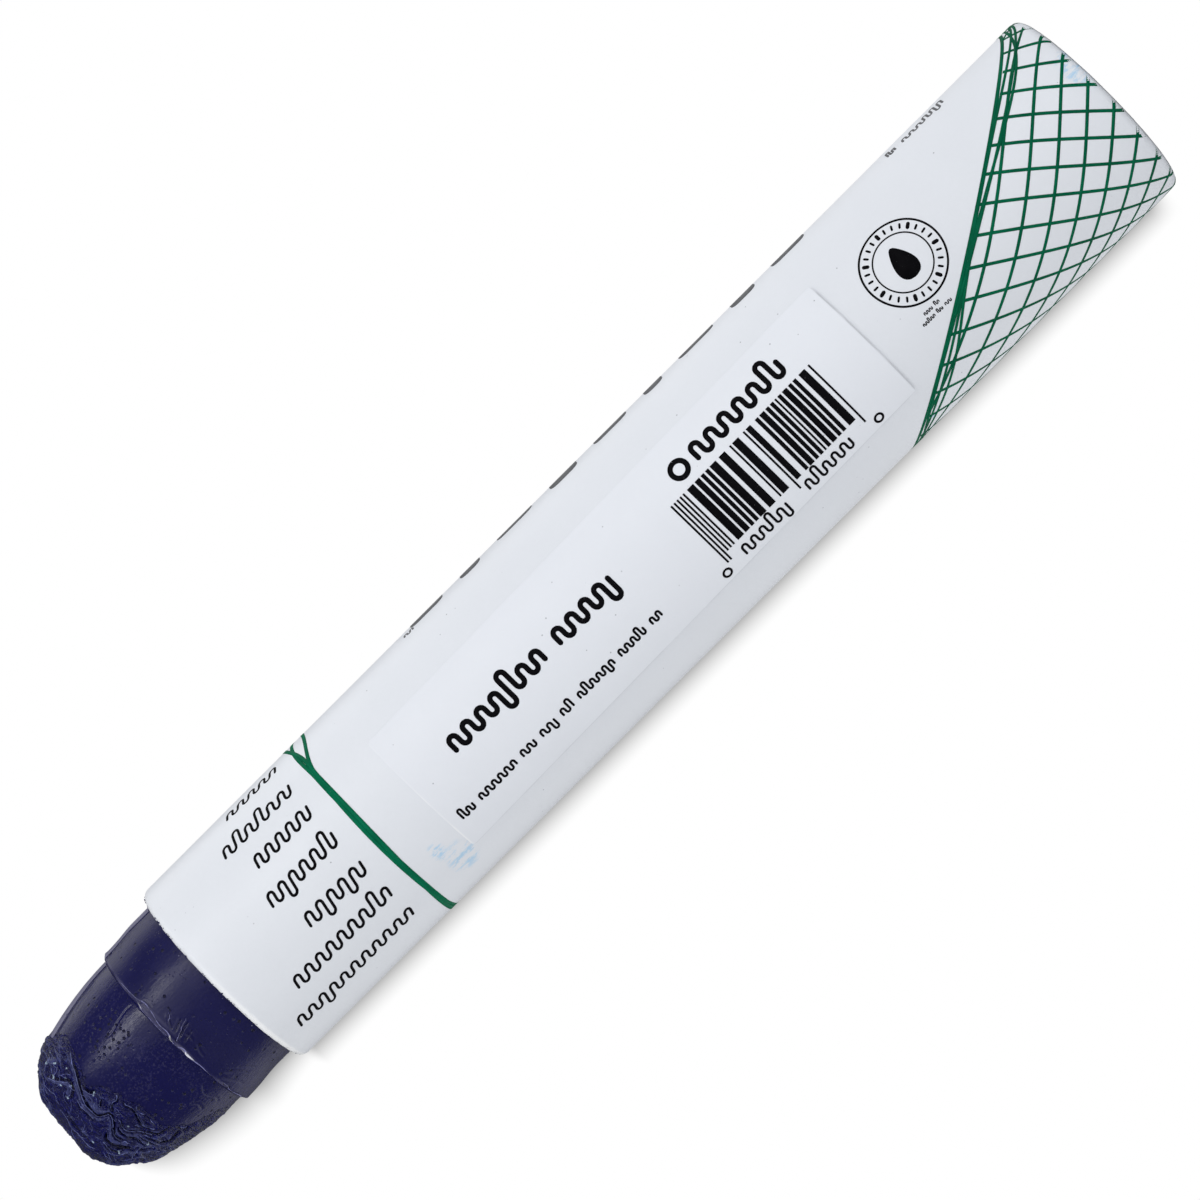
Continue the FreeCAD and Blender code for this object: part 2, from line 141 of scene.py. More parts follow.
class MARKER_PG_stage(bpy.types.PropertyGroup):
    """Light, floor and camera"""

    floor_colour: colour("Floor", (0.80, 0.80, 0.80), "Colour of the floor under the marker")
    daylight: share("Daylight", 0.81, "Strength of the even light from all round", 4.0)
    reflected: share("Reflected daylight", 0.12, "Strength of the daylight that gloss reflects", 4.0)
    key_power: share("Key power", 0.82, "Watts of the narrow lamp that gives the paint its shine", 50.0)
    front_power: share("Front power", 0.44, "Watts of the wide lamp beside the camera", 50.0)
    left_power: share("Left power", 0.75, "Watts of the wide lamp behind the upper left side", 50.0)
    right_power: share("Right power", 0.46, "Watts of the wide lamp behind the lower right side", 50.0)
    nose_power: share("Nose power", 0.40, "Watts of the lamp beyond the nose", 50.0)
    lamp_distance: length("Lamp distance", 750 * MM, "From the marker's middle to the lamps, seen from above")
    camera_distance: length("Camera distance", 403 * MM, "From the camera to the marker's axis")
    camera_foot: length("Camera foot", 50.4 * MM, "Height of the camera above the floor")
    camera_aim: length("Camera aim", 56.28 * MM, "Height that the middle of the picture shows")
    camera_side: length("Camera side", 0.088 * MM, "Offset of the camera from the axis, towards -X")
    camera_lens: share("Lens", 151.1, "Focal length in millimetres on a 36 mm wide sensor", 500.0)
    shade_reach: length("Shade reach", 2.3 * MM, "How far the contact shade reaches past the outline")
    shade_depth: share("Shade depth", 0.62, "How dark the contact shade is where the marker touches")


class MARKER_PG_stick(bpy.types.PropertyGroup):
    """Sizes and colours of the paint stick, its dried skin, ridges and crumbs"""

    shoulder: length("Shoulder", 104.5 * MM, "Height of the shoulder between the collar and the nose")
    corner: length("Corner", 0.35 * MM, "Rounding of the collar's end")
    crease: length("Crease", 0.2 * MM, "Hollow where the nose leaves the shoulder")
    lean: length("Lean", 0.22 * MM, "How far the shown end stands off the sleeve's axis, towards -X")
    nose_radius: length("Nose radius", 7.65 * MM, "Radius of the nose where it leaves the shoulder")
    side_radius: length("Side radius", 28.6 * MM, "Bow of the nose's side")
    edge_radius: length("Edge radius", 5.74 * MM, "Rounding between the nose's side and its crown")
    crown_radius: length("Crown radius", 40 * MM, "Bow of the blunt crown")
    back_chamfer: length("Back chamfer", 0.4 * MM, "Broken edge of the hidden back end")
    parting_angle: angle("Parting line", -73, "Where the parting line starts, from the front line to -X")
    parting_twist: angle("Parting twist", 6, "How far the parting line turns on its way up the nose")
    parting_depth: length("Parting depth", 0.16 * MM, "Depth of the parting line")
    columns: whole("Columns", 500, "Mesh columns round the stick", 60)
    skin_thickness: length("Skin", 0.09 * MM, "Thickness of the dried skin on the tip")
    skin_columns: whole("Skin columns", 540, "Mesh columns on the dried skin", 60)
    skin_rows: whole("Skin rows", 165, "Mesh rows on the dried skin", 40)
    paint: colour("Paint", (0.0022, 0.0022, 0.060), "The stick's dark blue paint")
    dried: colour("Dried paint", (0.0024, 0.0032, 0.092), "The skin that has dried on the tip")
    # The lip's light colour is partly rubbing and partly painted highlight.
    lip: colour("Lip", (0.22, 0.22, 0.46), "Rubbed crest of the collar's lip")
    # Painted highlight colour of the lip's glints.
    shine: colour("Shine", (0.78, 0.78, 0.86), "The brightest parts of the lip's crest")
    # Painted highlight colour of the ridges beside the skin's folds.
    crest: colour("Crest", (0.15, 0.175, 0.45), "Crests beside the folds of the dried skin")
    crumb: colour("Crumb", (0.10, 0.10, 0.20), "Crumbs of dried paint")
    # Colour of the lighter film: rubbing, painted highlight on the lit strip and the lip, and painted sheen.
    bloom_and_sheen: colour("Bloom", (0.110, 0.104, 0.190), "The dull film where the paint has been rubbed")
    # Dust colour that also carries painted sheen on the skin's crests.
    dust_and_sheen: colour("Haze", (0.085, 0.100, 0.26), "The film on the crests and dusty parts of the dried skin")
    # Painted glint colour of the skin's specks.
    painted_glint: colour("Wet", (0.44, 0.56, 0.68), "The wet-looking specks on the dried skin")
    # The fine film also stands in for the nose's soft sheen, so part of it is painted sheen.
    frost_and_sheen: share("Frost", 0.15, "How much of the fine pale film the smooth paint carries")
    gloss: share("Gloss", 0.45, "Strength of the paint's mirror reflection")


class MARKER_PG_paper(bpy.types.PropertyGroup):
    """Sizes and colours of the board, the wrap and the label"""

    wrap: colour("Wrap", (0.800, 0.820, 0.865), "The printed paper round the tube")
    label: colour("Label", (0.825, 0.845, 0.895), "The stuck label")
    board: colour("Board", (0.62, 0.58, 0.50), "The wound board under the paper")
    smear: colour("Smear", (0.42, 0.66, 0.88), "Light blue marks that paint has left on the paper")
    speck: colour("Speck", (0.24, 0.24, 0.28), "Tiny specks in the papers")
    # The pale rim at the mouth is mostly painted highlight on the sleeve's rounded end.
    rim: length("Rim", 0.62 * MM, "Width of the pale pressed edge at the mouth")
    rounding: length("Rounding", 0.72 * MM, "Rounding of the sleeve's two ends")
    thickness: length("Paper thickness", 0.14 * MM, "Thickness of the wrap")
    board_wall: length("Board wall", 0.81 * MM, "Thickness of the board's wall")
    lap: length("Lap", 6.0 * MM, "Width of the wrap's overlap at the back")
    lap_slope: length("Lap slope", 1.2 * MM, "Stretch on which the wrap climbs over its own edge")
    wrap_columns: whole("Wrap columns", 420, "Mesh columns round the wrap", 60)
    board_columns: whole("Board columns", 260, "Mesh columns round the board", 60)


class MARKER_PG_print(bpy.types.PropertyGroup):
    """Sizes and inks of what is printed"""

    green: colour("Green", (0.0012, 0.142, 0.066), "Ink of the net and the ring")
    black: colour("Black", (0.0040, 0.0037, 0.0050), "Ink of the words and bars")
    grey: colour("Grey", (0.150, 0.152, 0.158), "Ink of the large blocks on the back")
    film: length("Film", 0.016 * MM, "Thickness of the ink")
    step: length("Step", 0.16 * MM, "Spacing of the points along a stroke")
    net_lines: whole("Net lines", 20, "Lines each way round the sleeve", 3)
    net_lean: angle("Net lean", 38, "How far the net's lines lean from the sleeve's direction")
    net_line: length("Net line", 0.27 * MM, "Width of a line of the net")
    net_edge: length("Net edge", 16.0 * MM, "Mean height of the net's edge")
    net_swing: length("Net swing", 14.0 * MM, "How far the edge rises and falls round the sleeve")
    net_turn: angle("Net turn", -95, "Where the edge stands highest, from the front line to +X")
    ring_height: length("Ring height", 81.8 * MM, "Height of the green ring near the mouth")


# Shader maths

class Signal:
    """A number that changes over a surface. Arithmetic on it adds Math nodes to its finish."""

    def __init__(self, finish, socket):
        self.finish = finish
        self.socket = socket

    def math(self, operation, *values):
        return self.finish.add("ShaderNodeMath", 0, {"operation": operation}, dict(enumerate(values)))

    def __add__(self, other):
        return self.math("ADD", self, other)

    def __sub__(self, other):
        return self.math("SUBTRACT", self, other)

    def __rsub__(self, other):
        return self.math("SUBTRACT", other, self)

    def __mul__(self, other):
        return self.math("MULTIPLY", self, other)

    def __truediv__(self, other):
        return self.math("DIVIDE", self, other)

    def __rtruediv__(self, other):
        return self.math("DIVIDE", other, self)

    def __abs__(self):
        return self.math("ABSOLUTE", self)

    __radd__ = __add__
    __rmul__ = __mul__

    def power(self, exponent):
        return self.math("POWER", self, exponent)

    def largest(self, other):
        return self.math("MAXIMUM", self, other)

    def smallest(self, other):
        return self.math("MINIMUM", self, other)

    def rise(self, low, high):
        """0 below low, 1 above high and smooth between, or the other way round if high is the lower."""
        settings = {"interpolation_type": "SMOOTHSTEP"}
        return self.finish.add("ShaderNodeMapRange", 0, settings, {0: self, 1: low, 2: high})

    def within(self):
        """The signal held between 0 and 1."""
        return self.largest(0.0).smallest(1.0)


class Finish:
    """A material whose nodes are added one at a time round its Principled shader."""

    def __init__(self, name, **fixed):
        self.material = bpy.data.materials.new(name)
        self.begin(self.material, "Principled BSDF", "Material Output")
        for socket, value in fixed.items():
            self.shader.inputs[socket.replace("_", " ")].default_value = value

    def begin(self, owner, shader, output):
        """Takes up the node tree that a new material or world starts with."""
        owner.use_nodes = True
        self.tree = owner.node_tree
        self.shader = self.tree.nodes[shader]
        self.surface = self.tree.nodes[output].inputs["Surface"]
        self.own = Signal(self, self.shader.outputs[0])

    def add(self, kind, output, settings=None, values=None):
        """Adds a node with its settings, then its values or links, and gives the output asked for."""
        node = self.tree.nodes.new(kind)
        for name, value in (settings or {}).items():
            setattr(node, name, value)
        for socket, value in (values or {}).items():
            self.feed(node.inputs[socket], value)
        return Signal(self, node.outputs[output])

    def feed(self, socket, value):
        if isinstance(value, Signal):
            self.tree.links.new(value.socket, socket)
        else:
            socket.default_value = value

    def give(self, **values):
        """Feeds sockets of the Principled shader."""
        for socket, value in values.items():
            self.feed(self.shader.inputs[socket.replace("_", " ")], value)

    def place(self):
        return self.add("ShaderNodeTexCoord", "Object")

    def mark(self, name):
        """The number that the piece keeps under that name."""
        return self.add("ShaderNodeAttribute", "Fac", {"attribute_name": name})

    def parts(self, vector):
        """The three numbers of a vector."""
        split = self.add("ShaderNodeSeparateXYZ", 0, None, {0: vector}).socket.node
        return [Signal(self, socket) for socket in split.outputs]

    def joined(self, x, y, z):
        return self.add("ShaderNodeCombineXYZ", 0, None, {0: x, 1: y, 2: z})

    def noise(self, place, size, detail=2.0, roughness=0.5):
        """Cloudy noise about 0.5, with lumps of that size in metres."""
        values = {"Vector": place, "Scale": 1 / size, "Detail": detail, "Roughness": roughness}
        return self.add("ShaderNodeTexNoise", 0, None, values)

    def spots(self, place, spacing, inner, outer):
        """Scattered round spots: 1 inside the inner share of their spacing and 0 outside the outer one."""
        values = {"Vector": place, "Scale": 1 / spacing}
        return 1 - self.add("ShaderNodeTexVoronoi", "Distance", None, values).rise(inner, outer)

    def distance(self, place, spot):
        """Distance in metres from a fixed spot."""
        return self.add("ShaderNodeVectorMath", "Value", {"operation": "DISTANCE"}, {0: place, 1: spot})

    def blend(self, factor, first, second):
        """Goes from the first colour to the second as the factor goes from 0 to 1."""
        values = {0: factor, 6: solid(first), 7: solid(second)}
        return self.add("ShaderNodeMix", 2, {"data_type": "RGBA"}, values)

    def shades(self, factor, base, dark, light=1.0):
        """Goes from a darker to a lighter shade of one colour, each given as a share of it."""
        return self.blend(factor, [c * dark for c in base], [min(1, c * light) for c in base])

    def relief(self, height, depth, normal=None):
        """A bump of that depth in metres where the height goes from 0 to 1."""
        values = {"Height": height, "Distance": depth}
        if normal:
            values["Normal"] = normal
        return self.add("ShaderNodeBump", 0, None, values)

    def rolled(self):
        """Distance round the paper from the front line, towards +X, and the height."""
        x, y, z = self.parts(self.place())
        return x.math("ARCTAN2", x, 0 - y) * WRAP_RADIUS, z

    def ray_is(self, kind):
        """1 for rays of that kind: "Camera", "Glossy" or "Transmission"."""
        return self.add("ShaderNodeLightPath", f"Is {kind} Ray")

    def glow(self, kind, value):
        """An even grey light from a node of that kind."""
        return self.add(kind, 0, None, {"Color": (value, value, value, 1), "Strength": 1.0})

    def mixed(self, factor, first, second):
        """Goes from the first shader to the second as the factor goes from 0 to 1."""
        return self.add("ShaderNodeMixShader", 0, None, {0: factor, 1: first, 2: second})


def solid(value):
    """A colour with its alpha, or a signal as it is."""
    return value if isinstance(value, Signal) else (*value, 1.0)


class Sky(Finish):
    """The world's nodes, added in the same way as a material's."""

    def __init__(self, world):
        self.begin(world, "Background", "World Output")


class Graph(Finish):
    """A tree of geometry nodes with its inputs, given as names and kinds, and one output."""

    def __init__(self, name, **inputs):
        self.tree = bpy.data.node_groups.new(name, "GeometryNodeTree")
        for socket, kind in inputs.items():
            self.tree.interface.new_socket(socket, in_out="INPUT", socket_type="NodeSocket" + kind)
        self.tree.interface.new_socket("Shape", in_out="OUTPUT", socket_type="NodeSocketGeometry")
        start = self.tree.nodes.new("NodeGroupInput").outputs
        self.given = {socket: Signal(self, start[socket]) for socket in inputs}

    def geometry(self, kind, output, settings=None, **values):
        """Adds a geometry node. A space in a socket's name is written as _."""
        named = {socket.replace("_", " "): value for socket, value in values.items()}
        return self.add("GeometryNode" + kind, output, settings, named)

    def mark(self, name):
        return self.geometry("InputNamedAttribute", "Attribute", {"data_type": "FLOAT"}, Name=name)

    def strokes(self):
        """The drawn edges as curves with evenly spaced points."""
        line, step = self.geometry("MeshToCurve", "Curve", Mesh=self.given["Strokes"]), self.given["Step"]
        return self.geometry("ResampleCurve", "Curve", {"mode": "LENGTH"}, Curve=line, Length=step)

    def swept(self, line, section):
        """A closed body along each curve, as wide as the stroke's own marks say."""
        values = {"Curve": line, "Profile_Curve": section, "Scale": self.mark("half"), "Fill_Caps": True}
        return self.geometry("CurveToMesh", "Mesh", **values)

    def end(self, shape, material):
        """Sends out the shape as plain geometry with the material of that input, and gives the tree."""
        plain = self.geometry("RealizeInstances", "Geometry", Geometry=shape)
        given = self.given[material]
        inked = self.geometry("SetMaterial", "Geometry", Geometry=plain, Material=given)
        self.feed(self.tree.nodes.new("NodeGroupOutput").inputs["Shape"], inked)
        return self.tree


# Meshes

def finished(obj, body, material=None):
    """Gives a piece its material and body."""
    if material:
        obj.data.materials.clear()
        obj.data.materials.append(material)
    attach(obj, body)
    return obj


def linked(name, data):
    """A new object of the scene, at the origin."""
    obj = bpy.data.objects.new(name, data)
    bpy.context.scene.collection.objects.link(obj)
    return obj


def new_piece(name, vertices, faces):
    """A new object of the scene from its vertices and faces."""
    mesh = bpy.data.meshes.new(name)
    mesh.from_pydata(np.asarray(vertices).tolist(), [], faces)
    mesh.validate()
    return linked(name, mesh)


def paint_mark(mesh, name, values):
    """Keeps a number for each vertex of a mesh, for its material or its tree of nodes."""
    mark = mesh.attributes.new(name, "FLOAT", "POINT")
    mark.data.foreach_set("value", np.asarray(values, np.float32).ravel())


def marked_mesh(points, edges, **marks):
    """A mesh of loose points and edges, with a number of each name for each point."""
    mesh = bpy.data.meshes.new("drawn")
    mesh.from_pydata(points, edges, [])
    for name, values in marks.items():
        paint_mark(mesh, name, values)
    return mesh


def bearings(count, crowded=(), height=26, width=0.8):
    """Angles round the stick, closer together at the front and closest at the crowded angles."""
    fine = np.linspace(-math.pi, math.pi, 20001)
    density = 1 + 2.4 * smooth(np.cos(fine), -0.35, 0.1)
    for centre in crowded:
        off = np.angle(np.exp(1j * (fine - centre)))
        density = density + height * bell(off, math.radians(width))
    reached = np.concatenate(([0], np.cumsum((density[1:] + density[:-1]) / 2)))
    return np.interp(np.arange(count) / count * reached[-1], reached, fine)


def wall_faces(low, high, columns):
    """Faces between two rings of vertices, from the first vertex of each."""
    return [(low + j, high + j, high + (j + 1) % columns, low + (j + 1) % columns) for j in range(columns)]


def spun(radii, heights, turn, way=1):
    """Points at those angles, from the line of +Y for a way of 1 and from the front line for -1."""
    return np.stack([way * radii * np.sin(turn), way * radii * np.cos(turn), heights], axis=-1)


def turned_piece(name, radii, heights, turn):
    """A closed turned surface from its rows of radii and heights, from the lower pole to the upper one."""
    body = spun(radii, heights, turn, -1)[1:-1].reshape(-1, 3)
    poles = [[0, 0, heights[0].mean()], [0, 0, heights[-1].mean()]]
    points = np.vstack([poles[:1], body, poles[1:]])
    rows, columns = radii.shape[0] - 2, radii.shape[1]
    top = len(points) - 1
    last = top - columns
    faces = []
    for j in range(columns):
        k = (j + 1) % columns
        faces += [(0, 1 + j, 1 + k), (top, last + k, last + j)]
    for i in range(rows - 1):
        faces += wall_faces(1 + i * columns, 1 + (i + 1) * columns, columns)
    piece = new_piece(name, points, faces)
    piece.data.shade_smooth()
    return piece


def ring_piece(name, radii, heights, turn, sharpest):
    """A closed ring whose section runs up its outside and down its inside, with its sharp edges kept."""
    rows, columns = radii.shape
    faces = []
    for i in range(rows):
        faces += wall_faces(i * columns, (i + 1) % rows * columns, columns)
    piece = new_piece(name, spun(radii, heights, turn, -1).reshape(-1, 3), faces)
    piece.data.shade_smooth()
    piece.data.set_sharp_from_angle(angle=math.radians(sharpest))
    return piece


def smooth(value, low, high):
    """0 at low, 1 at high and smooth between."""
    t = np.clip((value - low) / (high - low), 0, 1)
    return t * t * (3 - 2 * t)


def bell(off, width):
    """1 in the middle, falling off on both sides."""
    return np.exp(-((off / width) ** 2))


def cloudy(points, size, seed):
    """Smooth noise between -1 and 1 at each point, with lumps of about that size."""
    cell = points / size + seed * 7.31
    corner = np.floor(cell)
    part = cell - corner
    part = part * part * (3 - 2 * part)
    total = np.zeros(points.shape[:-1])
    for step in product((0, 1), repeat=3):
        wave = np.sin((corner + step) @ np.array([127.1, 311.7, 74.7])) * 43758.5453
        share_of_corner = np.prod(np.where(step, part, 1 - part), axis=-1)
        total += (wave - np.floor(wave)) * share_of_corner
    return total * 2 - 1


def run_through(points, count):
    """A smooth line through a few points, as evenly numbered points."""
    p = np.asarray(points, float)
    p = np.vstack([2 * p[0] - p[1], p, 2 * p[-1] - p[-2]])
    place = np.linspace(0, len(p) - 3, count)
    i = np.minimum(place.astype(int), len(p) - 4)
    t = (place - i)[:, None]
    a, b, c, d = (p[i + k] for k in range(4))
    square, cube = 2 * a - 5 * b + 4 * c - d, 3 * b - a - 3 * c + d
    return 0.5 * (2 * b + (c - a) * t + square * t**2 + cube * t**3)


def walked_along(line):
    """Distance walked along a line at each of its points."""
    return np.concatenate(([0], np.cumsum(np.hypot(*np.diff(line, axis=0).T))))


def off_line(line, across, height):
    """Distance of each point to the left of a line, and the share of the line that lies behind it."""
    best = np.full(across.shape, 1.0)
    side = np.ones(across.shape)
    along = np.zeros(across.shape)
    steps = len(line) - 1
    for i in range(steps):
        start, run = line[i], line[i + 1] - line[i]
        ahead_x, ahead_z = across - start[0], height - start[1]
        t = np.clip((ahead_x * run[0] + ahead_z * run[1]) / (run @ run), 0, 1)
        gap_x, gap_z = ahead_x - t * run[0], ahead_z - t * run[1]
        distance = np.hypot(gap_x, gap_z)
        nearer = distance < best
        best = np.where(nearer, distance, best)
        side = np.where(nearer, np.sign(run[0] * gap_z - run[1] * gap_x), side)
        along = np.where(nearer, (i + t) / steps, along)
    return best * side, along


# Paint stick

def walk_line(start, end, step):
    """Points along a straight run, without its last one."""
    count = max(1, math.ceil(math.dist(start, end) / step))
    return [np.add(start, np.subtract(end, start) * i / count) for i in range(count)]


def walk_arc(centre, radius, start, end, step):
    """Points along an arc, without its last one."""
    count = max(1, math.ceil(abs(end - start) * radius / step))
    turns = [start + (end - start) * i / count for i in range(count)]
    return [np.add(centre, (radius * math.cos(a), radius * math.sin(a))) for a in turns]


def circles_meet(first, first_radius, second, second_radius):
    """The outer of the two points where two circles meet."""
    gap = np.subtract(second, first)
    distance = np.hypot(*gap)
    reach = (first_radius**2 - second_radius**2 + distance**2) / (2 * distance)
    rise = math.sqrt(first_radius**2 - reach**2)
    middle = np.add(first, gap * reach / distance)
    aside = np.array([gap[1], -gap[0]]) * rise / distance
    return max(middle + aside, middle - aside, key=lambda p: p[0])


def nose_arcs(stick):
    """Centre, radius, first and last angle of the arcs of the nose: its side, its edge and its crown."""
    side = (stick.nose_radius - stick.side_radius, stick.shoulder)
    crown = (0.0, STICK_CROWN - stick.crown_radius)
    edge = circles_meet(
        side, stick.side_radius - stick.edge_radius, crown, stick.crown_radius - stick.edge_radius
    )
    low = math.atan2(edge[1] - side[1], edge[0] - side[0])
    high = math.atan2(edge[1] - crown[1], edge[0] - crown[0])
    root = math.asin(stick.crease / stick.side_radius)
    return (
        (side, stick.side_radius, root, low),
        (edge, stick.edge_radius, low, high),
        (crown, stick.crown_radius, high, math.pi / 2),
    )


def nose_line(stick, fine, coarse):
    """Points of the nose's outline, with one step for its side and a coarser one for its tip."""
    side, edge, crown = nose_arcs(stick)
    line = walk_arc(*side, fine) + walk_arc(*edge, coarse) + walk_arc(*crown, coarse * 1.5)
    return line + [np.array([0.0, STICK_CROWN])]


def stick_line(stick):
    """Outline of the whole stick, from the middle of its back end to the crown."""
    r, c = STICK_RADIUS, stick.corner
    cut = stick.back_chamfer
    shown = SLEEVE_LENGTH - 1.5 * MM
    land = stick.nose_radius + stick.crease
    line = [np.array([0.0, STICK_BACK]), np.array([r - cut, STICK_BACK])]
    line += walk_line((r, STICK_BACK + cut), (r, shown), 8 * MM)
    line += walk_line((r, shown), (r, stick.shoulder - c), 0.12 * MM)
    line += walk_arc((r - c, stick.shoulder - c), c, 0, math.pi / 2, 0.06 * MM)
    line += walk_line((r - c, stick.shoulder), (land, stick.shoulder), 0.1 * MM)
    hollow = (land, stick.shoulder + stick.crease)
    line += walk_arc(hollow, stick.crease, -math.pi / 2, -math.pi, 0.06 * MM)
    return np.array(line + nose_line(stick, 0.105 * MM, 0.4 * MM))


def outward(line):
    """Directions square to an outline that runs up the stick, pointing out of it."""
    run = np.gradient(line, axis=0)
    run /= np.hypot(*run.T)[:, None]
    away = np.stack([run[:, 1], -run[:, 0]], axis=-1)
    away[0], away[-1] = (0, -1), (0, 1)
    return away


# Edge of the dried skin round the nose, as (degrees from the front line to -X, height in mm)
SKIN_EDGE = (
    (-180, 108.6), (-150, 109.8), (-120, 110.4), (-92, 111.6), (-75, 111.8), (-62, 111.1), (-55, 110.6),
    (-47, 110.7), (-40, 111.1), (-33, 111.2), (-25, 111.5), (-17, 111.9), (-13, 111.8), (-8, 111.2),
    (-4, 110.8), (1, 110.8), (5, 110.45), (10, 110.5), (19, 110.2), (29, 110.2), (38, 110.3), (44, 110.2),
    (48, 109.7), (53, 109.3), (58, 109.1), (61, 108.4), (64, 107.5), (69, 106.6), (78, 105.9), (92, 105.8),
    (110, 106.9), (130, 108.6), (152, 109.2), (180, 108.6),
)

# Folds of the dried skin, as points (across, height), depth, half width and lift of each bank, all in mm.
# Across is the distance from the axis towards -X.
FOLDS = (
    (((-4.2, 111.0), (-3.4, 111.5), (-2.7, 111.8), (-2.0, 112.2), (-1.3, 112.6), (-0.5, 112.95),
      (0.15, 113.05), (0.8, 113.0), (1.1, 112.65), (1.35, 112.2), (1.75, 112.25), (2.2, 112.6),
      (2.55, 113.0), (3.05, 113.3), (3.5, 113.1), (4.0, 112.75)), 0.20, 0.13, 0.07, 0.05),
    (((2.25, 113.45), (2.6, 113.9), (3.0, 114.0), (3.55, 113.8), (4.0, 113.5), (4.35, 113.05)),
     0.20, 0.16, 0.03, 0.09),
    (((2.5, 112.45), (3.05, 112.7), (3.65, 112.6), (4.2, 112.3), (4.75, 112.35), (5.4, 112.4)),
     0.17, 0.11, 0.05, 0.06),
    (((2.25, 111.9), (2.9, 112.3), (3.45, 112.2), (3.85, 111.75), (4.25, 111.5), (4.75, 111.35),
      (5.1, 110.95)), 0.19, 0.12, 0.05, 0.05),
    (((0.7, 110.45), (1.05, 110.95), (1.0, 111.4), (1.2, 111.75), (1.6, 111.95)), 0.16, 0.12, 0.05, 0.04),
    (((1.3, 110.5), (1.75, 110.8), (2.25, 110.65), (2.8, 110.7), (3.2, 110.9), (3.8, 111.1), (4.35, 111.0),
      (4.95, 110.6)), 0.18, 0.12, 0.04, 0.06),
    (((2.35, 110.3), (2.9, 110.5), (3.55, 110.3), (4.2, 110.4), (4.85, 110.45)), 0.13, 0.10, 0.02, 0.06),
    (((4.3, 111.3), (4.75, 111.05), (5.25, 110.7), (5.4, 110.1), (5.45, 109.5)), 0.15, 0.10, 0.05, 0.04),
    (((4.2, 111.75), (4.9, 111.6), (5.5, 111.45), (5.9, 111.25), (6.2, 110.75), (6.2, 110.0), (6.25, 109.5)),
     0.17, 0.12, 0.05, 0.04),
    (((3.55, 113.95), (3.95, 113.8), (4.35, 113.35), (4.7, 113.25), (4.9, 112.9), (5.5, 113.05)),
     0.16, 0.12, 0.05, 0.05),
    (((5.6, 109.4), (6.1, 109.4), (6.45, 109.2), (6.45, 108.8), (6.6, 108.3), (6.85, 107.8)),
     0.15, 0.12, 0.03, 0.07),
    (((-1.8, 112.05), (-1.35, 112.15), (-0.85, 112.0), (-0.65, 111.6)), 0.17, 0.20, 0.05, 0.03),
    (((0.1, 111.8), (0.5, 112.4)), 0.12, 0.11, 0.03, 0.03),
    (((0.95, 113.15), (0.7, 113.45), (0.0, 113.5), (-0.6, 113.6), (-1.3, 113.4)), 0.09, 0.13, 0.03, 0.03),
    (((2.4, 114.2), (3.1, 114.4), (3.6, 114.4), (3.95, 114.1), (4.15, 113.65)), 0.14, 0.12, 0.05, 0.04),
    (((-1.6, 115.0), (0.1, 115.4), (1.3, 115.3), (2.5, 115.1)), 0.10, 0.14, 0.04, 0.04),
    (((-4.3, 113.9), (-3.6, 113.5), (-3.15, 113.1), (-2.7, 112.75), (-2.1, 112.85), (-1.7, 113.4),
      (-1.75, 114.0)), 0.10, 0.18, 0.10, 0.03),
    (((4.1, 111.9), (4.7, 111.95), (5.3, 111.9), (5.8, 111.7)), 0.11, 0.09, 0.04, 0.04),
    (((3.3, 111.6), (3.9, 111.35), (4.6, 111.2), (5.15, 110.7), (5.2, 110.2)), 0.10, 0.09, 0.03, 0.04),
    (((5.2, 113.9), (5.0, 113.3), (5.2, 112.8), (5.7, 112.2)), 0.12, 0.11, 0.03, 0.06),
)

# Shallow marks on the collar and the smooth side, in the same way
SCRATCHES = (
    (((-3.4, 104.8), (-3.45, 105.6), (-3.25, 106.6), (-3.0, 107.4), (-2.95, 108.0)), 0.045, 0.06, 0.0, 0.004),
    (((-0.95, 103.1), (-0.4, 103.5), (0.25, 103.9)), 0.10, 0.09, 0.07, 0.03),
    (((0.65, 102.5), (0.8, 103.2), (1.05, 103.95)), 0.15, 0.09, 0.06, 0.04),
    (((0.05, 102.7), (0.3, 103.3), (0.5, 103.85)), 0.12, 0.08, 0.05, 0.03),
    (((1.35, 102.7), (1.45, 103.3), (1.6, 103.9)), 0.10, 0.07, 0.04, 0.03),
    (((1.1, 103.3), (1.5, 103.15), (2.0, 103.3)), 0.07, 0.07, 0.03, 0.02),
    (((-3.1, 103.95), (-2.6, 103.75), (-2.0, 103.9)), 0.07, 0.07, 0.04, 0.02),
    (((2.4, 103.2), (2.9, 103.5), (3.5, 103.6)), 0.06, 0.08, 0.03, 0.02),
    (((5.4, 103.6), (6.2, 102.8), (7.0, 102.2)), 0.06, 0.10, 0.03, 0.02),
    (((5.6, 104.0), (6.6, 103.5), (7.3, 103.3)), 0.07, 0.12, 0.03, 0.03),
    (((5.9, 102.6), (6.5, 102.0), (7.1, 101.7)), 0.05, 0.10, 0.02, 0.02),
    (((4.9, 105.3), (5.6, 105.9), (6.4, 105.6), (6.9, 105.9)), 0.05, 0.12, 0.03, 0.02),
    (((5.3, 107.4), (5.8, 106.9), (6.5, 107.1)), 0.06, 0.12, 0.03, 0.03),
    (((-6.9, 106.0), (-6.6, 107.5), (-6.2, 109.0)), 0.03, 0.10, 0.01, 0.01),
)

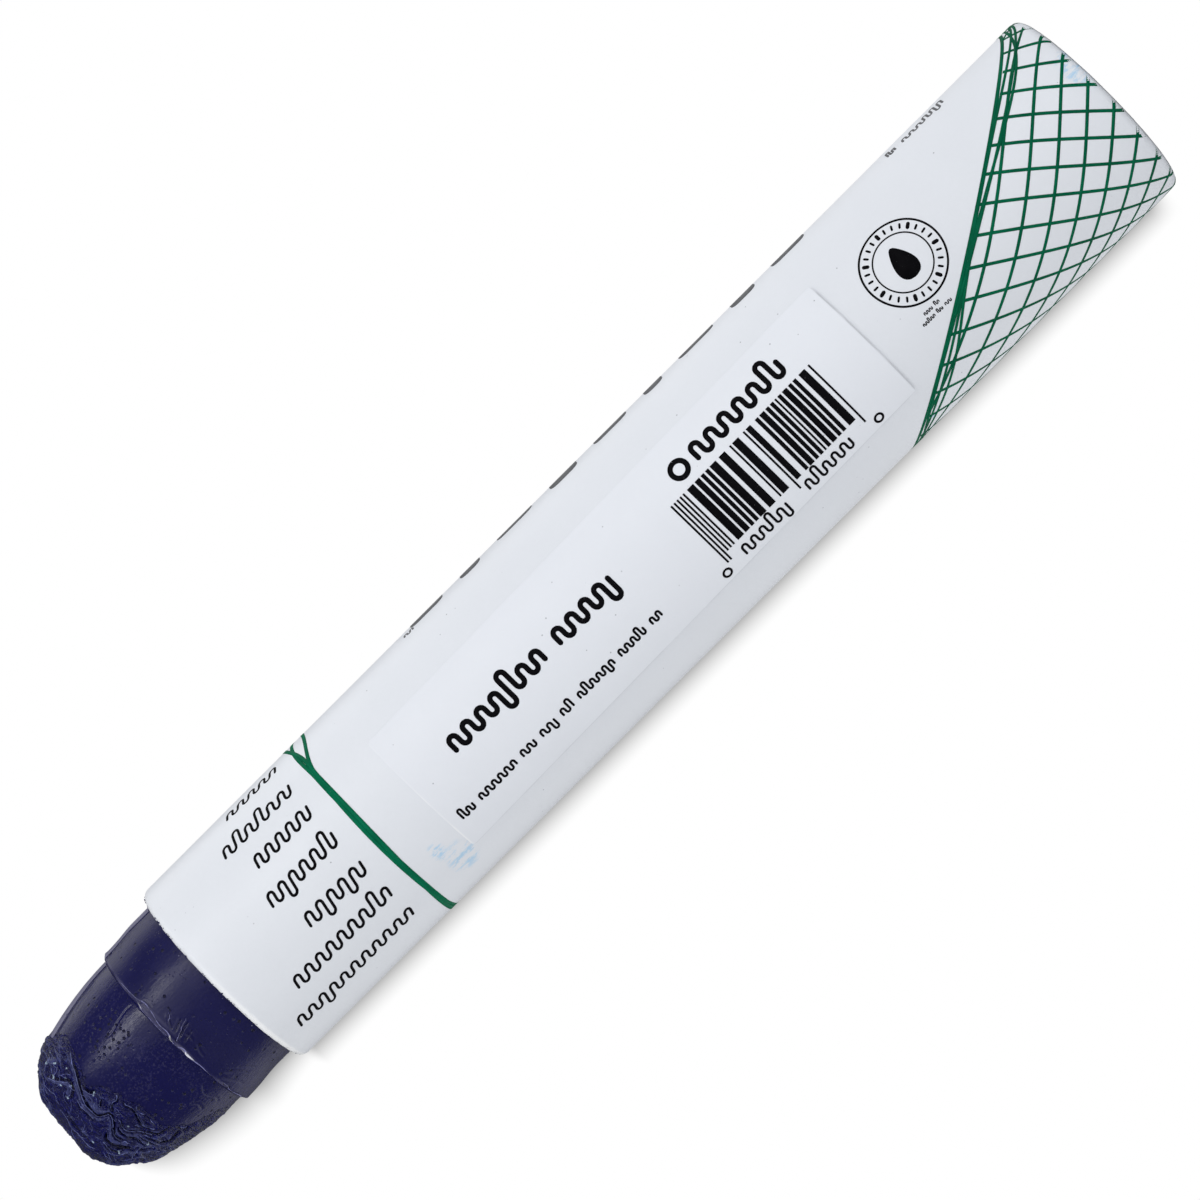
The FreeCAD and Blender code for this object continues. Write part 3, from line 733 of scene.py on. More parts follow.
# Places of the painted glints on the skin, specks lightened where it would catch the lamps, as (across,
# height) in mm.
# Each one lies its own way and has its own size, by its place in the list.
GLINTS = (
    (-5.25, 112.55), (-4.4, 112.7), (-3.85, 113.6), (-3.1, 112.85), (-2.3, 112.9), (-1.85, 113.85),
    (-0.9, 111.25), (-0.6, 111.95), (3.1, 111.85), (3.55, 109.9), (4.0, 114.15), (-4.9, 113.3), (-3.5, 112.2),
    (-2.9, 113.5), (5.1, 112.1), (2.0, 114.9),
)

# Middle of the patch of small pits on the smooth side of the nose
PIT_PATCH = (2.9 * MM, -6.85 * MM, 107.7 * MM)


def creased(marks, across, height, weight):
    """Sum of the marks' depths and banks at each point, in metres."""
    total = np.zeros(across.shape)
    for points, depth, half_width, left_bank, right_bank in marks:
        line = run_through(points, 6 * len(points)) * MM
        reach = 5 * half_width * MM
        low, high = line.min(axis=0) - reach, line.max(axis=0) + reach
        near = (across > low[0]) & (across < high[0]) & (height > low[1]) & (height < high[1])
        distance, along = off_line(line, across[near], height[near])
        off = distance / (half_width * MM)
        fading = smooth(along, 0, 0.12) * smooth(along, 1, 0.85)
        groove = -depth * np.exp(-(off**2) * 1.3)
        left, right = (np.exp(-((off - middle) ** 2) / 1.2) for middle in (1.7, -1.7))
        total[near] += (groove + left_bank * left + right_bank * right) * fading * MM
    return total * weight


def skin_edge(turn):
    """Height of the skin's edge at each angle, in metres."""
    angles, heights = np.array(SKIN_EDGE).T
    edge = np.interp(np.degrees(turn), angles, heights) * MM
    ring = np.stack([np.sin(turn), np.cos(turn), 0 * turn], axis=-1)
    ragged = cloudy(ring, 0.11, 3) * 0.16 + cloudy(ring, 0.035, 4) * 0.07
    return edge + ragged * MM


def leaned(stick, radii, heights, turn):
    """Distance towards -X from the sleeve's axis: the shown end leans a little to that side."""
    rising = smooth(heights, SLEEVE_LENGTH + PLAIN_REACH, SLEEVE_LENGTH + 5 * MM)
    return radii * np.sin(turn) + stick.lean * rising


def leaning_place(stick, radii, heights, turn):
    """Distance towards -X, and the place that noise is read at, for each point of the leaning stick."""
    across = leaned(stick, radii, heights, turn)
    return across, np.stack([across, -radii * np.cos(turn), heights], axis=-1)


def stick_relief(stick, radii, heights, turn):
    """Height of the paint above its plain turned shape, and a mark of rubbing and painted highlight at each
    point.
    """
    across, place = leaning_place(stick, radii, heights, turn)
    front = smooth(np.cos(turn), -0.25, 0.05) + 0 * heights
    shown = smooth(heights, SLEEVE_LENGTH - 1 * MM, SLEEVE_LENGTH + 0.5 * MM)
    relief = (cloudy(place, 3.2 * MM, 1) * 0.022 + cloudy(place, 1.1 * MM, 2) * 0.010) * MM

    parting = stick.parting_angle + stick.parting_twist * smooth(heights, 104 * MM, 112 * MM)
    for half in (0, math.pi):
        off = np.angle(np.exp(1j * (turn - parting - half))) * STICK_RADIUS
        relief = relief - stick.parting_depth * bell(off, 0.10 * MM)
        relief = relief + 0.03 * MM * bell(np.abs(off) - 0.22 * MM, 0.09 * MM)
    past_parting = -np.sin(turn - parting)
    relief = relief + 0.035 * MM * smooth(past_parting, 0.0, 0.02)

    lip = bell(heights - stick.shoulder + 0.14 * MM, 0.11 * MM)
    second = bell(heights - stick.shoulder + 0.52 * MM, 0.09 * MM)
    second = second * smooth(across, -3.6 * MM, -2.4 * MM) * smooth(across, 1.6 * MM, 0.4 * MM) * front
    collar = smooth(radii, STICK_RADIUS - 0.36 * MM, STICK_RADIUS - 0.2 * MM)
    uneven = np.clip(0.55 + 0.75 * cloudy(place, 1.3 * MM, 5), 0.08, 1)
    relief = relief + (lip * uneven * 0.10 + second * 0.05) * collar * MM
    relief = relief + creased(SCRATCHES, across, heights, front)
    clear = smooth(heights, SLEEVE_LENGTH + PLAIN_REACH, SLEEVE_LENGTH + 2.6 * MM)
    relief = relief * (0.25 + 0.75 * np.where(relief > 0, clear, shown))

    buried = smooth(heights - skin_edge(turn), 0.1 * MM, 0.5 * MM)
    relief = relief * (1 - buried) - 0.42 * MM * buried

    # Painted highlight: a lighter strip past the parting line towards +X, on the side that faces the key
    # lamp.
    strip = smooth(past_parting, 0.020, 0.036) * smooth(np.cos(turn), -0.2, 0.1)
    # A little lighter along the lower right side, towards -X.
    low_right = smooth(np.sin(turn), 0.72, 0.93) * smooth(np.cos(turn), -0.1, 0.1)
    # Painted glint on the lip's crest, strongest 2.75 mm across from the axis.
    glint = bell(across - 2.75 * MM, 1.0 * MM) * front
    # The lip's crest is lighter from rubbing and from painted highlight, brightest at the glint; above 1 the
    # mark gives a bright glint colour.
    crest = (lip * (0.6 + 2.2 * glint) + second * 0.5) * collar * uneven
    return relief, np.clip(1.15 * strip + 0.08 * low_right * shown + crest, 0, 2)


def lean_over(stick, piece):
    """Moves a turned piece of the stick to where its shown end stands, and presses its crown flatter."""
    points = np.empty(len(piece.data.vertices) * 3, np.float32)
    piece.data.vertices.foreach_get("co", points)
    points = points.reshape(-1, 3)
    heights = points[:, 2].copy()
    side = -points[:, 0] / MM
    flat = 0.40 * smooth(side, -4.5, -0.3) * smooth(side, 2.2, 0.2) + 0.06 * np.maximum(-side, 0)
    points[:, 2] -= flat * MM * smooth(heights, 113 * MM, 116 * MM)
    points[:, 2] -= 0.28 * MM * bell(side - 5.4, 0.8) * smooth(heights, 111 * MM, 113.5 * MM)
    points[:, 0] -= leaned(stick, 0, heights, 0)
    piece.data.vertices.foreach_set("co", points.ravel())


def pole_first(values):
    """Values of a turned grid in the order of its vertices, with one value at each pole."""
    return np.concatenate([values[:1, 0], values[1:-1].ravel(), values[-1:, 0]])


def make_stick(stick):
    """The whole stick as one moulded piece, with more columns near its parting lines."""
    line = stick_line(stick)
    away = outward(line)
    parting = stick.parting_angle + stick.parting_twist / 2
    turn = bearings(stick.columns, (parting, parting + math.pi), 9, 4.0)[None, :]
    radii, heights = line[:, :1] + 0 * turn, line[:, 1:] + 0 * turn
    relief, rubbed = stick_relief(stick, radii, heights, turn)
    radii, heights = radii + relief * away[:, :1], heights + relief * away[:, 1:]
    piece = turned_piece("moulded_stick", radii, heights, turn)
    paint_mark(piece.data, "rubbed", pole_first(rubbed))
    lean_over(stick, piece)
    return piece


def skin_relief(stick, radii, heights, turn, reach):
    """Height of the dried skin above the nose, how high in its folds each point is, and where its painted
    glints lie.
    """
    across, place = leaning_place(stick, radii, heights, turn)
    front = smooth(np.cos(turn), -0.3, 0.0) + 0 * heights
    inside = smooth(reach, 1.0, 0.93)

    lumps = cloudy(place, 2.1 * MM, 11) * 0.050 + cloudy(place, 0.85 * MM, 12) * 0.030
    sway = [cloudy(place, 1.3 * MM, seed) * 0.5 * MM for seed in (13, 14)]
    bent_across, bent_height = across + sway[0], heights + sway[1] + np.abs(across) * 0.25
    long_folds = 3.2
    flow = np.stack([bent_across / long_folds, place[..., 1] / long_folds, bent_height], axis=-1)
    ridges = 1 - np.abs(cloudy(flow, 0.34 * MM, 15))
    crumple = smooth(cloudy(place, 2.6 * MM, 16), -0.45, 0.35) * smooth(heights, 109.6 * MM, 112.4 * MM)
    fine = cloudy(place, 0.24 * MM, 17) * 0.022
    limb = smooth(heights, 113.6 * MM, 115.2 * MM) * cloudy(place, 0.45 * MM, 18) * 0.045
    folds = creased(FOLDS, across, heights, front * (0.3 + 0.7 * inside)) * 1.35
    sharp = inside * ridges**3 * (0.060 + 0.095 * crumple) + inside * limb
    facing_edge = smooth(np.sin(turn), -0.62, -0.40) * smooth(np.sin(turn), 0.86, 0.70)
    facing_edge = facing_edge * smooth(np.cos(turn), 0, 0.2)
    thinner = 1 - smooth(reach, 0.90, 1.0) * (0.85 - 0.65 * facing_edge)
    curl = bell(1 - reach, 0.03) * 0.05 * facing_edge
    relief = (0.35 + 0.65 * inside) * (lumps + fine) + sharp + curl
    fold = np.clip(0.5 + (folds + (sharp - 0.03) * MM) / (0.26 * MM), 0, 1)

    # Painted glints at the listed places, where the skin's specks would shine.
    glint = 0 * across
    for i, (x, z) in enumerate(GLINTS):
        off_x, off_z = across / MM - x, heights / MM - z
        c, s = math.cos(i * 1.9), math.sin(i * 1.9)
        wide = 0.07 + 0.03 * (i % 3)
        lying = bell(off_x * c + off_z * s, wide * (1.2 + i % 4 * 0.5))
        glint = np.maximum(glint, lying * bell(off_z * c - off_x * s, wide))
    glint = glint * (0.7 + 0.5 * cloudy(place, 0.12 * MM, 19))
    return stick.skin_thickness * thinner + relief * MM + folds, fold, glint * front


def make_skin(stick):
    """The dried skin as a closed shell. Its rows run from the crown to its edge and back under it."""
    turn = bearings(stick.skin_columns)[None, :]
    line = np.array(nose_line(stick, 0.02 * MM, 0.02 * MM))[::-1]
    walked = walked_along(line)
    edge_walk = np.interp(skin_edge(turn), line[::-1, 1], walked[::-1])
    away = outward(line[::-1])[::-1]

    early_rows, early_share = 14, 0.30
    early = np.linspace(0, early_share, early_rows, endpoint=False)
    outside = np.concatenate([early, np.linspace(early_share, 1.0, stick.skin_rows - early_rows)])
    under = (1.012, 1.01, 0.95, 0.8, 0.55, 0.25, 0.0)
    reach = np.concatenate([outside, under])[:, None] + 0 * turn
    walk = reach * edge_walk
    radii, heights, out_r, out_z = (np.interp(walk, walked, part) for part in (*line.T, *away.T))
    relief, fold, glint = skin_relief(stick, radii, heights, turn, reach)
    rows = len(outside)
    relief[rows] = stick.skin_thickness * 0.35
    relief[rows + 1 :] = -0.38 * MM
    radii, heights = (radii + relief * out_r)[::-1], (heights + relief * out_z)[::-1]
    radii[0] = radii[-1] = 0
    piece = turned_piece("dried_skin", radii, heights, turn)
    paint_mark(piece.data, "fold", pole_first(fold[::-1]))
    paint_mark(piece.data, "glint", pole_first(glint[::-1]))
    lean_over(stick, piece)
    return piece


def paint_finish(name, base, stick, skin):
    """Wax and oil paint: dark, softly shining, with grain, hollows, a film of rubbing and painted sheen,
    painted shade and highlights.
    """
    finish = Finish(name, Specular_IOR_Level=stick.gloss, IOR=1.5)
    place = finish.place()
    x, y, z = finish.parts(place)
    clouds = finish.noise(place, 3.5 * MM, 3)
    grain = finish.noise(finish.joined(x, y, z * 0.7), 0.17 * MM, 3, 0.6)
    drag = finish.noise(finish.joined(x * 6, y * 6, z), 1.4 * MM, 2)
    pitted = finish.noise(place, 3.6 * MM, 1).rise(0.47, 0.57)
    patch = finish.distance(place, PIT_PATCH).rise(2.5 * MM, 1.3 * MM)
    pits_and_shade = finish.spots(place, 0.80 * MM, 0.09, 0.21) * pitted
    pits_and_shade = pits_and_shade.largest(finish.spots(place, 0.43 * MM, 0.17, 0.34) * patch)
    tone = (clouds - 0.5) * 0.5 + (grain - 0.5) * 0.35
    body = finish.shades((tone + 0.5).rise(0.0, 1.0), base, 0.72, 1.28)
    if skin:
        fold, painted_glint = finish.mark("fold"), finish.mark("glint").rise(0.32, 0.70) * 0.95
        dust = finish.noise(place, 0.9 * MM, 4, 0.65).rise(0.56, 0.78)
        flow = finish.joined(x * 0.45 + z * 0.3, y * 0.5, z - x * 0.3)
        wrinkles = abs(finish.noise(flow, 0.55 * MM, 3, 0.55) - 0.5).rise(0.0, 0.11)
        creases = abs(finish.noise(place, 0.35 * MM, 2) - 0.5).rise(0.0, 0.16)
        wrinkles = wrinkles * (creases * 0.5 + 0.5)
        # Painted shade: creases and the hollows of the wrinkles are darkened in colour.
        painted_crease_shade = fold.rise(0.40, 0.12).largest((1 - wrinkles) * 0.7)
        body = finish.blend(painted_crease_shade * 0.9, body, (0.0002, 0.0002, 0.016))
        # Dust, with painted sheen: the crests beside the folds are lightened in colour.
        dust_and_sheen = dust * 0.10 + fold.rise(0.57, 0.85) * 0.45
        body = finish.blend(dust_and_sheen.smallest(1.0), body, stick.dust_and_sheen)
        # Painted glints: the specks take a light colour and a lower roughness.
        body = finish.blend(painted_glint, body, stick.painted_glint)
        # Painted shade: the skin's small hollows are darkened in colour.
        body = finish.blend(pits_and_shade * 0.6, body, (0.003, 0.003, 0.010))
        rough = (clouds - 0.5) * 0.20 + 0.15 + dust * 0.20 - painted_glint * 0.08
        height = grain * 0.18 + drag * 0.15 + wrinkles * 1.9 + clouds * 1.0 - pits_and_shade * 1.2
        normal = finish.relief(height, 0.08 * MM)
    else:
        rubbed = finish.mark("rubbed")
        scuffs = finish.noise(finish.joined(x * 3, y * 3, z), 1.1 * MM, 4, 0.7)
        collar = z.rise(stick.shoulder + 0.2 * MM, stick.shoulder - 0.1 * MM)
        # Fine frost, which also stands in for the soft sheen on the nose: stronger on the nose than on the
        # collar.
        frost_and_sheen = finish.noise(place, 0.19 * MM, 2, 0.6).rise(0.48, 0.72)
        frost_and_sheen = frost_and_sheen * finish.noise(place, 3.0 * MM, 2).rise(0.38, 0.62) * (1.35 - collar * 1.1)
        # The lighter film: rubbing, painted highlight on the lit strip and the lip, and the frost with its
        # painted sheen.
        worn = rubbed * (scuffs * 0.9 + 0.55) + frost_and_sheen * stick.frost_and_sheen
        body = finish.blend(worn.smallest(1.0), body, stick.bloom_and_sheen)
        # Painted glint: where the mark passes 1, the lip's crest takes a bright highlight colour.
        body = finish.blend((rubbed - 1).within(), body, (0.42, 0.42, 0.56))
        # Painted shade: the small hollows are darkened in colour.
        body = finish.blend(pits_and_shade * 0.75, body, (0.001, 0.001, 0.014))
        rough = (clouds - 0.5) * 0.12 + 0.25 + (grain - 0.5) * 0.06
        rough = rough + rubbed.smallest(1.0) * 0.15 + collar * 0.06 + pits_and_shade * 0.4
        dents = finish.spots(place, 0.33 * MM, 0.10, 0.20)
        dents = dents * finish.noise(place, 2.4 * MM, 1).rise(0.40, 0.58)
        bruised = scuffs * x.rise(-4.9 * MM, -6.4 * MM)
        height = grain * 0.25 + drag * 0.28 + clouds * 1.0 - pits_and_shade * 2.4 - dents * 1.2 + bruised * 1.6
        normal = finish.relief(height, 0.045 * MM)
    finish.give(Base_Color=body, Roughness=rough, Normal=normal)
    return finish.material


# Papers

def end_rounding(paper, turn, end):
    """Rounding of the sleeve's end at each angle: the ends were pressed by hand and aren't even."""
    ring = spun(1, 0 * turn + end * 5, turn)
    uneven = 0.14 * cloudy(ring, 0.8, 21 + end) + 0.05 * cloudy(ring, 0.22, 23 + end)
    return paper.rounding * (1 + uneven)


def lap_edge(paper):
    """Angle at which the wrap's free edge lies."""
    return math.pi - paper.lap / 2 / (WRAP_RADIUS + paper.thickness)


def lap_height(paper, turn):
    """How far the wrap's free edge lifts its surface: a step where it ends, then a slope down."""
    past = (turn - lap_edge(paper)) % (2 * math.pi)
    flat = 2 * (math.pi - lap_edge(paper))
    slope = paper.lap_slope / WRAP_RADIUS
    return paper.thickness * np.clip(1 + (flat - past) / slope, 0, 1) * (past < flat + slope)


def make_wrap(paper):
    """The printed paper with its rolled ends and its lap."""
    turn = bearings(paper.wrap_columns, (lap_edge(paper),))[None, :]
    low, high = end_rounding(paper, turn, 0), end_rounding(paper, turn, 1)
    end_rows, side_rows = 9, 60
    quarter = np.linspace(0, math.pi / 2, end_rows)[:, None]
    long_way = np.linspace(0, 1, side_rows)[1:-1, None]
    walls = []
    for depth in (0.0, paper.thickness):
        start_r = WRAP_RADIUS - low + (low - depth) * np.sin(quarter)
        start_z = low - (low - depth) * np.cos(quarter)
        end_r = WRAP_RADIUS - high + (high - depth) * np.cos(quarter)
        end_z = SLEEVE_LENGTH - high + (high - depth) * np.sin(quarter)
        middle_r = WRAP_RADIUS - depth + 0 * long_way * turn
        middle_z = low + (SLEEVE_LENGTH - high - low) * long_way
        walls.append((np.vstack([start_r, middle_r, end_r]), np.vstack([start_z, middle_z, end_z])))
    (outer_r, outer_z), (inner_r, inner_z) = walls
    place = spun(outer_r, outer_z, turn)
    waves = (cloudy(place, 9 * MM, 31) * 0.007 + cloudy(place, 3 * MM, 32) * 0.002) * MM
    rim = smooth(outer_z, 1.2 * MM, 0.1 * MM)
    rim = rim + smooth(outer_z, SLEEVE_LENGTH - 1.2 * MM, SLEEVE_LENGTH - 0.1 * MM)
    frayed = cloudy(place, 0.5 * MM, 33) * 0.025 * MM * rim
    outer_r = outer_r + waves + lap_height(paper, turn) * smooth(rim, 1.0, 0.3) + frayed
    outer_z = np.clip(outer_z + frayed * 0.6, 0, SLEEVE_LENGTH)
    radii, heights = np.vstack([outer_r, inner_r[::-1]]), np.vstack([outer_z, inner_z[::-1]])
    return ring_piece("rolled_wrap", radii, heights, turn, 50)


def make_board(paper):
    """The wound board inside the wrap, with a soft outer edge at each end and a frayed cut."""
    turn = bearings(paper.board_columns)[None, :]
    bore = -1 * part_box("board_tube")[0].x - paper.board_wall
    outer = WRAP_RADIUS - paper.thickness - 0.02 * MM
    soft, cut, recess = paper.rounding * 0.95, 0.10 * MM, 0.012 * MM
    lip = WRAP_RADIUS - paper.rounding - 0.07 * MM
    arc = np.linspace(0, math.pi / 2, 7)[:, None]
    low = np.hstack([lip + (outer - lip) * np.sin(arc), 0.16 * MM + soft * (1 - np.cos(arc))])
    section = [(bore + cut, recess), (lip, recess), *low]
    top = [(r, SLEEVE_LENGTH - z) for r, z in reversed(section)]
    section += [(outer, z) for z in np.linspace(2 * MM, SLEEVE_LENGTH - 2 * MM, 12)] + top
    section += [(bore, SLEEVE_LENGTH - cut), (bore, SLEEVE_LENGTH / 2), (bore, cut)]
    section = np.array(section)
    radii, heights = section[:, :1] + 0 * turn, section[:, 1:] + 0 * turn
    shown = (radii < lip + 0.01 * MM) & ((heights < 1 * MM) | (heights > SLEEVE_LENGTH - 1 * MM))
    fray = np.abs(cloudy(spun(radii, heights, turn), 0.6 * MM, 41)) * 0.02 * MM
    return ring_piece("rolled_board", radii + fray * shown, heights, turn, 40)


def wrap_finish(paper):
    """Coated paper with faint clouds, fibres, a painted highlight on the pale rim at the mouth, light blue
    smears and a few specks.
    """
    finish = Finish("wrap paper", Specular_IOR_Level=0.5, IOR=1.45)
    place = finish.place()
    around, z = finish.rolled()
    clouds = finish.noise(place, 14 * MM, 3)
    fibres = finish.noise(place, 0.35 * MM, 3, 0.65)
    tone = (clouds - 0.5) * 0.9 + (fibres - 0.5) * 0.35 + 0.5
    body = finish.shades(tone.rise(0.1, 0.9), paper.wrap, 0.975, 1.02)

    worn = finish.noise(place, 0.8 * MM, 2) - 0.5
    mouth = z + worn * 0.15 * MM
    mouth = mouth.rise(SLEEVE_LENGTH - paper.rim, SLEEVE_LENGTH - paper.rim * 0.55)
    rim_highlight_side = around.rise(3.5 * MM, -4.5 * MM) * 0.8 + 0.2
    # Painted highlight on the rounded rim at the mouth, over its pale cut edge, stronger towards -X.
    body = finish.blend(mouth * rim_highlight_side, body, (0.95, 0.955, 0.965))
    back = (z + worn * 0.3 * MM).rise(0.32 * MM, 0.05 * MM)
    body = finish.blend(back * 0.45, body, (0.60, 0.61, 0.63))

    streaks = finish.noise(finish.joined(around, z * 0.35, 0.0), 0.55 * MM, 4, 0.7).rise(0.47, 0.62)
    for middle_u, middle_v, half_u, half_v in SMEARS:
        off_u = (around - middle_u * MM) / (half_u * MM)
        off_v = (z - middle_v * MM) / (half_v * MM)
        near = (off_u * off_u + off_v * off_v).rise(1.0, 0.1)
        body = finish.blend(near * streaks * 0.85, body, paper.smear)
    body = specked(finish, place, body, paper)

    ripple = finish.noise(finish.joined(around, z * 0.25, 3.0), 5.5 * MM, 2)
    normal = finish.relief(fibres, 0.008 * MM, finish.relief(ripple, 0.16 * MM))
    finish.give(Base_Color=body, Roughness=(fibres - 0.5) * 0.15 + 0.40, Normal=normal)
    return finish.material


# The light blue marks on the wrap: middle and half size, round the sleeve and up it, in mm
SMEARS = (
    (-7.6, 78.1, 2.2, 1.6), (-5.4, 79.2, 1.2, 0.9), (3.2, 0.6, 2.8, 1.2), (-10.2, 27.0, 1.0, 1.6),
    (17.5, 40.0, 2.2, 3.0),
)


def specked(finish, place, body, paper):
    """Adds a few tiny specks to a paper's colour."""
    dots = finish.spots(place, 1.3 * MM, 0.040, 0.062)
    return finish.blend(dots * finish.noise(place, 6 * MM, 1).rise(0.48, 0.56) * 0.6, body, paper.speck)


def on_label(finish):
    """Distances from the label's middle, across it and up it, along its own straight edges."""
    x, y, z = finish.parts(finish.place())
    across, up = x * math.cos(LABEL_TURN) + y * math.sin(LABEL_TURN), z - LABEL_MIDDLE
    c, s = math.cos(LABEL_SKEW), math.sin(LABEL_SKEW)
    return across * c + up * s, up * c - across * s


def label_finish(paper):
    """Smooth label paper, whiter than the wrap, with painted highlight along its upper edge and painted shade
    along two others.
    """
    finish = Finish("label paper", Specular_IOR_Level=0.45, IOR=1.45)
    place = finish.place()
    clouds = finish.noise(place, 9 * MM, 3)
    fibres = finish.noise(place, 0.28 * MM, 3, 0.6)
    tone = (clouds - 0.5) * 0.8 + (fibres - 0.5) * 0.3 + 0.5
    body = finish.shades(tone.rise(0.1, 0.9), paper.label, 0.98, 1.015)
    across, up = on_label(finish)
    worn = finish.noise(place, 3 * MM, 2).rise(0.30, 0.60) * 0.6 + 0.4
    # Painted highlight along the label's end towards the nose, stronger towards -X.
    pale = up.rise(24.83 * MM, 24.92 * MM) * (across.rise(3.0 * MM, -4.0 * MM) * 0.55 + 0.1)
    body = finish.blend(pale * worn, body, (0.97, 0.975, 0.985))
    # Painted shade along the label's end away from the nose and along its side towards -X.
    edge = up.rise(-24.85 * MM, -24.93 * MM).largest(across.rise(-5.76 * MM, -5.83 * MM) * 0.45)
    body = finish.blend(edge * worn * 0.6, body, (0.40, 0.41, 0.44))
    body = specked(finish, place, body, paper)
    wave = finish.relief(finish.noise(place, 7 * MM, 1), 0.08 * MM)
    normal = finish.relief(fibres, 0.006 * MM, wave)
    finish.give(Base_Color=body, Roughness=(clouds - 0.5) * 0.1 + 0.42, Normal=normal)
    return finish.material


def board_finish(paper):
    """Grey-brown board wound in thin plies, which show as rings on the cut ends."""
    finish = Finish("wound board", Specular_IOR_Level=0.2, IOR=1.45)
    place = finish.place()
    x, y, _ = finish.parts(place)
    radius = (x * x + y * y).power(0.5)
    wobble = finish.noise(place, 1.2 * MM, 3)
    plies = radius.math("PINGPONG", radius / (0.26 * MM) + wobble * 0.3, 0.5)
    fluff = finish.noise(place, 0.16 * MM, 3, 0.7)
    body = finish.shades(plies.rise(0.0, 0.22), paper.board, 0.62)
    body = finish.blend(fluff.rise(0.35, 0.75) * 0.35, body, (0.80, 0.78, 0.72))
    normal = finish.relief(plies * 0.6 + fluff, 0.03 * MM)
    finish.give(Base_Color=body, Roughness=(fluff - 0.5) * 0.1 + 0.85, Normal=normal)
    return finish.material


# Print

class Drawing:
    """Strokes drawn flat, in mm: x is the distance round the paper towards +X and y is the height."""

    def __init__(self):
        self.points, self.edges, self.halves, self.lifts = [], [], [], []

    def stroke(self, line, half, lift=0.0):
        """Adds one stroke, with one half width for all its points or one for each."""
        first = len(self.points)
        line = np.asarray(line, float)
        self.points += [(x * MM, y * MM, 0.0) for x, y in line]
        self.edges += [(i, i + 1) for i in range(first, len(self.points) - 1)]
        self.halves += list(np.broadcast_to(half, len(line)) * MM)
        self.lifts += [lift * MM] * len(line)

    def round_stroke(self, line, half):
        """Adds a stroke with rounded ends."""
        line = np.asarray(line, float)
        walked = walked_along(line)
        total = walked[-1]
        ends = half * np.array([0.0, 0.12, 0.35, 0.7, 1.0])
        middle = walked[(walked > half) & (walked < total - half)]
        stops = np.unique(np.concatenate([ends, total - ends, middle]))
        out = np.clip(1 - np.minimum(stops, total - stops) / half, 0, 1)
        points = np.stack([np.interp(stops, walked, line[:, k]) for k in (0, 1)], axis=-1)
        self.stroke(points, half * np.sqrt(np.clip(1 - out**2, 0.02, 1)))

    def ring(self, x, y, radius, half):
        turns = np.linspace(0, 2 * math.pi, 97)
        self.stroke(np.stack([x + radius * np.cos(turns), y + radius * np.sin(turns)], axis=-1), half)

    def turned(self, middle, turn):
        """Turns the whole drawing and moves it from the middle of its sheet to its place."""
        (u, v), c, s = middle, math.cos(turn), math.sin(turn)
        self.points = [(u + c * x - s * y, v + s * x + c * y, z) for x, y, z in self.points]
        return self

    def mesh(self):
        return marked_mesh(self.points, self.edges, half=self.halves, lift=self.lifts)


def word(drawing, x, y, length, height, half, dice, lean=0.0):
    """Draws a made-up word as one rounded meander. It runs towards -Z with its top towards +X."""
    stems = max(3, round((length - 2 * half) / (height * 0.44)))
    pitch = (length - 2 * half) / stems
    turns = np.linspace(0, math.pi, 7)
    path = [(half, half)]
    for i in range(stems):
        if i % 2 == 0:
            tall = dice.random() > 0.84
            level, side = height * (1.45 if tall else dice.uniform(0.97, 1.03)) - half, -1
        else:
            level, side = half - (height * 0.36 if dice.random() > 0.93 else 0), 1
        for t in turns:
            across = half + i * pitch + pitch / 2 * (1 - math.cos(t))
            path.append((across, level + side * pitch / 2 * (1 - math.sin(t))))
    path.append((half + stems * pitch, half if stems % 2 else height - half))
    drawing.round_stroke([(x + t, y - s - t * lean) for s, t in path], half)


def words(drawing, x, y, lengths, height, half, dice, lean=0.0):
    """Draws a line of made-up words, with the first one starting at y."""
    for run in lengths:
        word(drawing, x, y, run, height, half, dice, lean)
        y -= run + height * 0.75


def roll_tree():
    """Geometry nodes that give flat strokes their width, roll them on to the paper and ink them."""
    graph = Graph(
        "roll on to paper", Strokes="Geometry", Radius="Float", Film="Float", Step="Float",
        Rounding="Float", Ink="Material",
    )
    radius, film, soft = (graph.given[name] for name in ("Radius", "Film", "Rounding"))
    line = graph.geometry("SetCurveNormal", "Curve", {"mode": "Z_UP"}, Curve=graph.strokes())
    section = graph.geometry("CurvePrimitiveQuadrilateral", "Curve", Width=2.0, Height=0.4)
    strips = graph.swept(line, section)

    x, y, z = graph.parts(graph.geometry("InputPosition", "Position"))
    top = z.math("GREATER_THAN", z, 0.0)
    past_end = (soft - y).largest(0.0)
    drop = soft - (soft * soft - past_end * past_end).largest(0.0).power(0.5)
    reach = radius - drop + top * (film + graph.mark("lift")) - (1 - top) * film * 0.6
    turn = x / radius
    place = graph.joined(reach * turn.math("SINE", turn), 0 - reach * turn.math("COSINE", turn), y)
    return graph.end(graph.geometry("SetPosition", "Geometry", Geometry=strips, Position=place), "Ink")


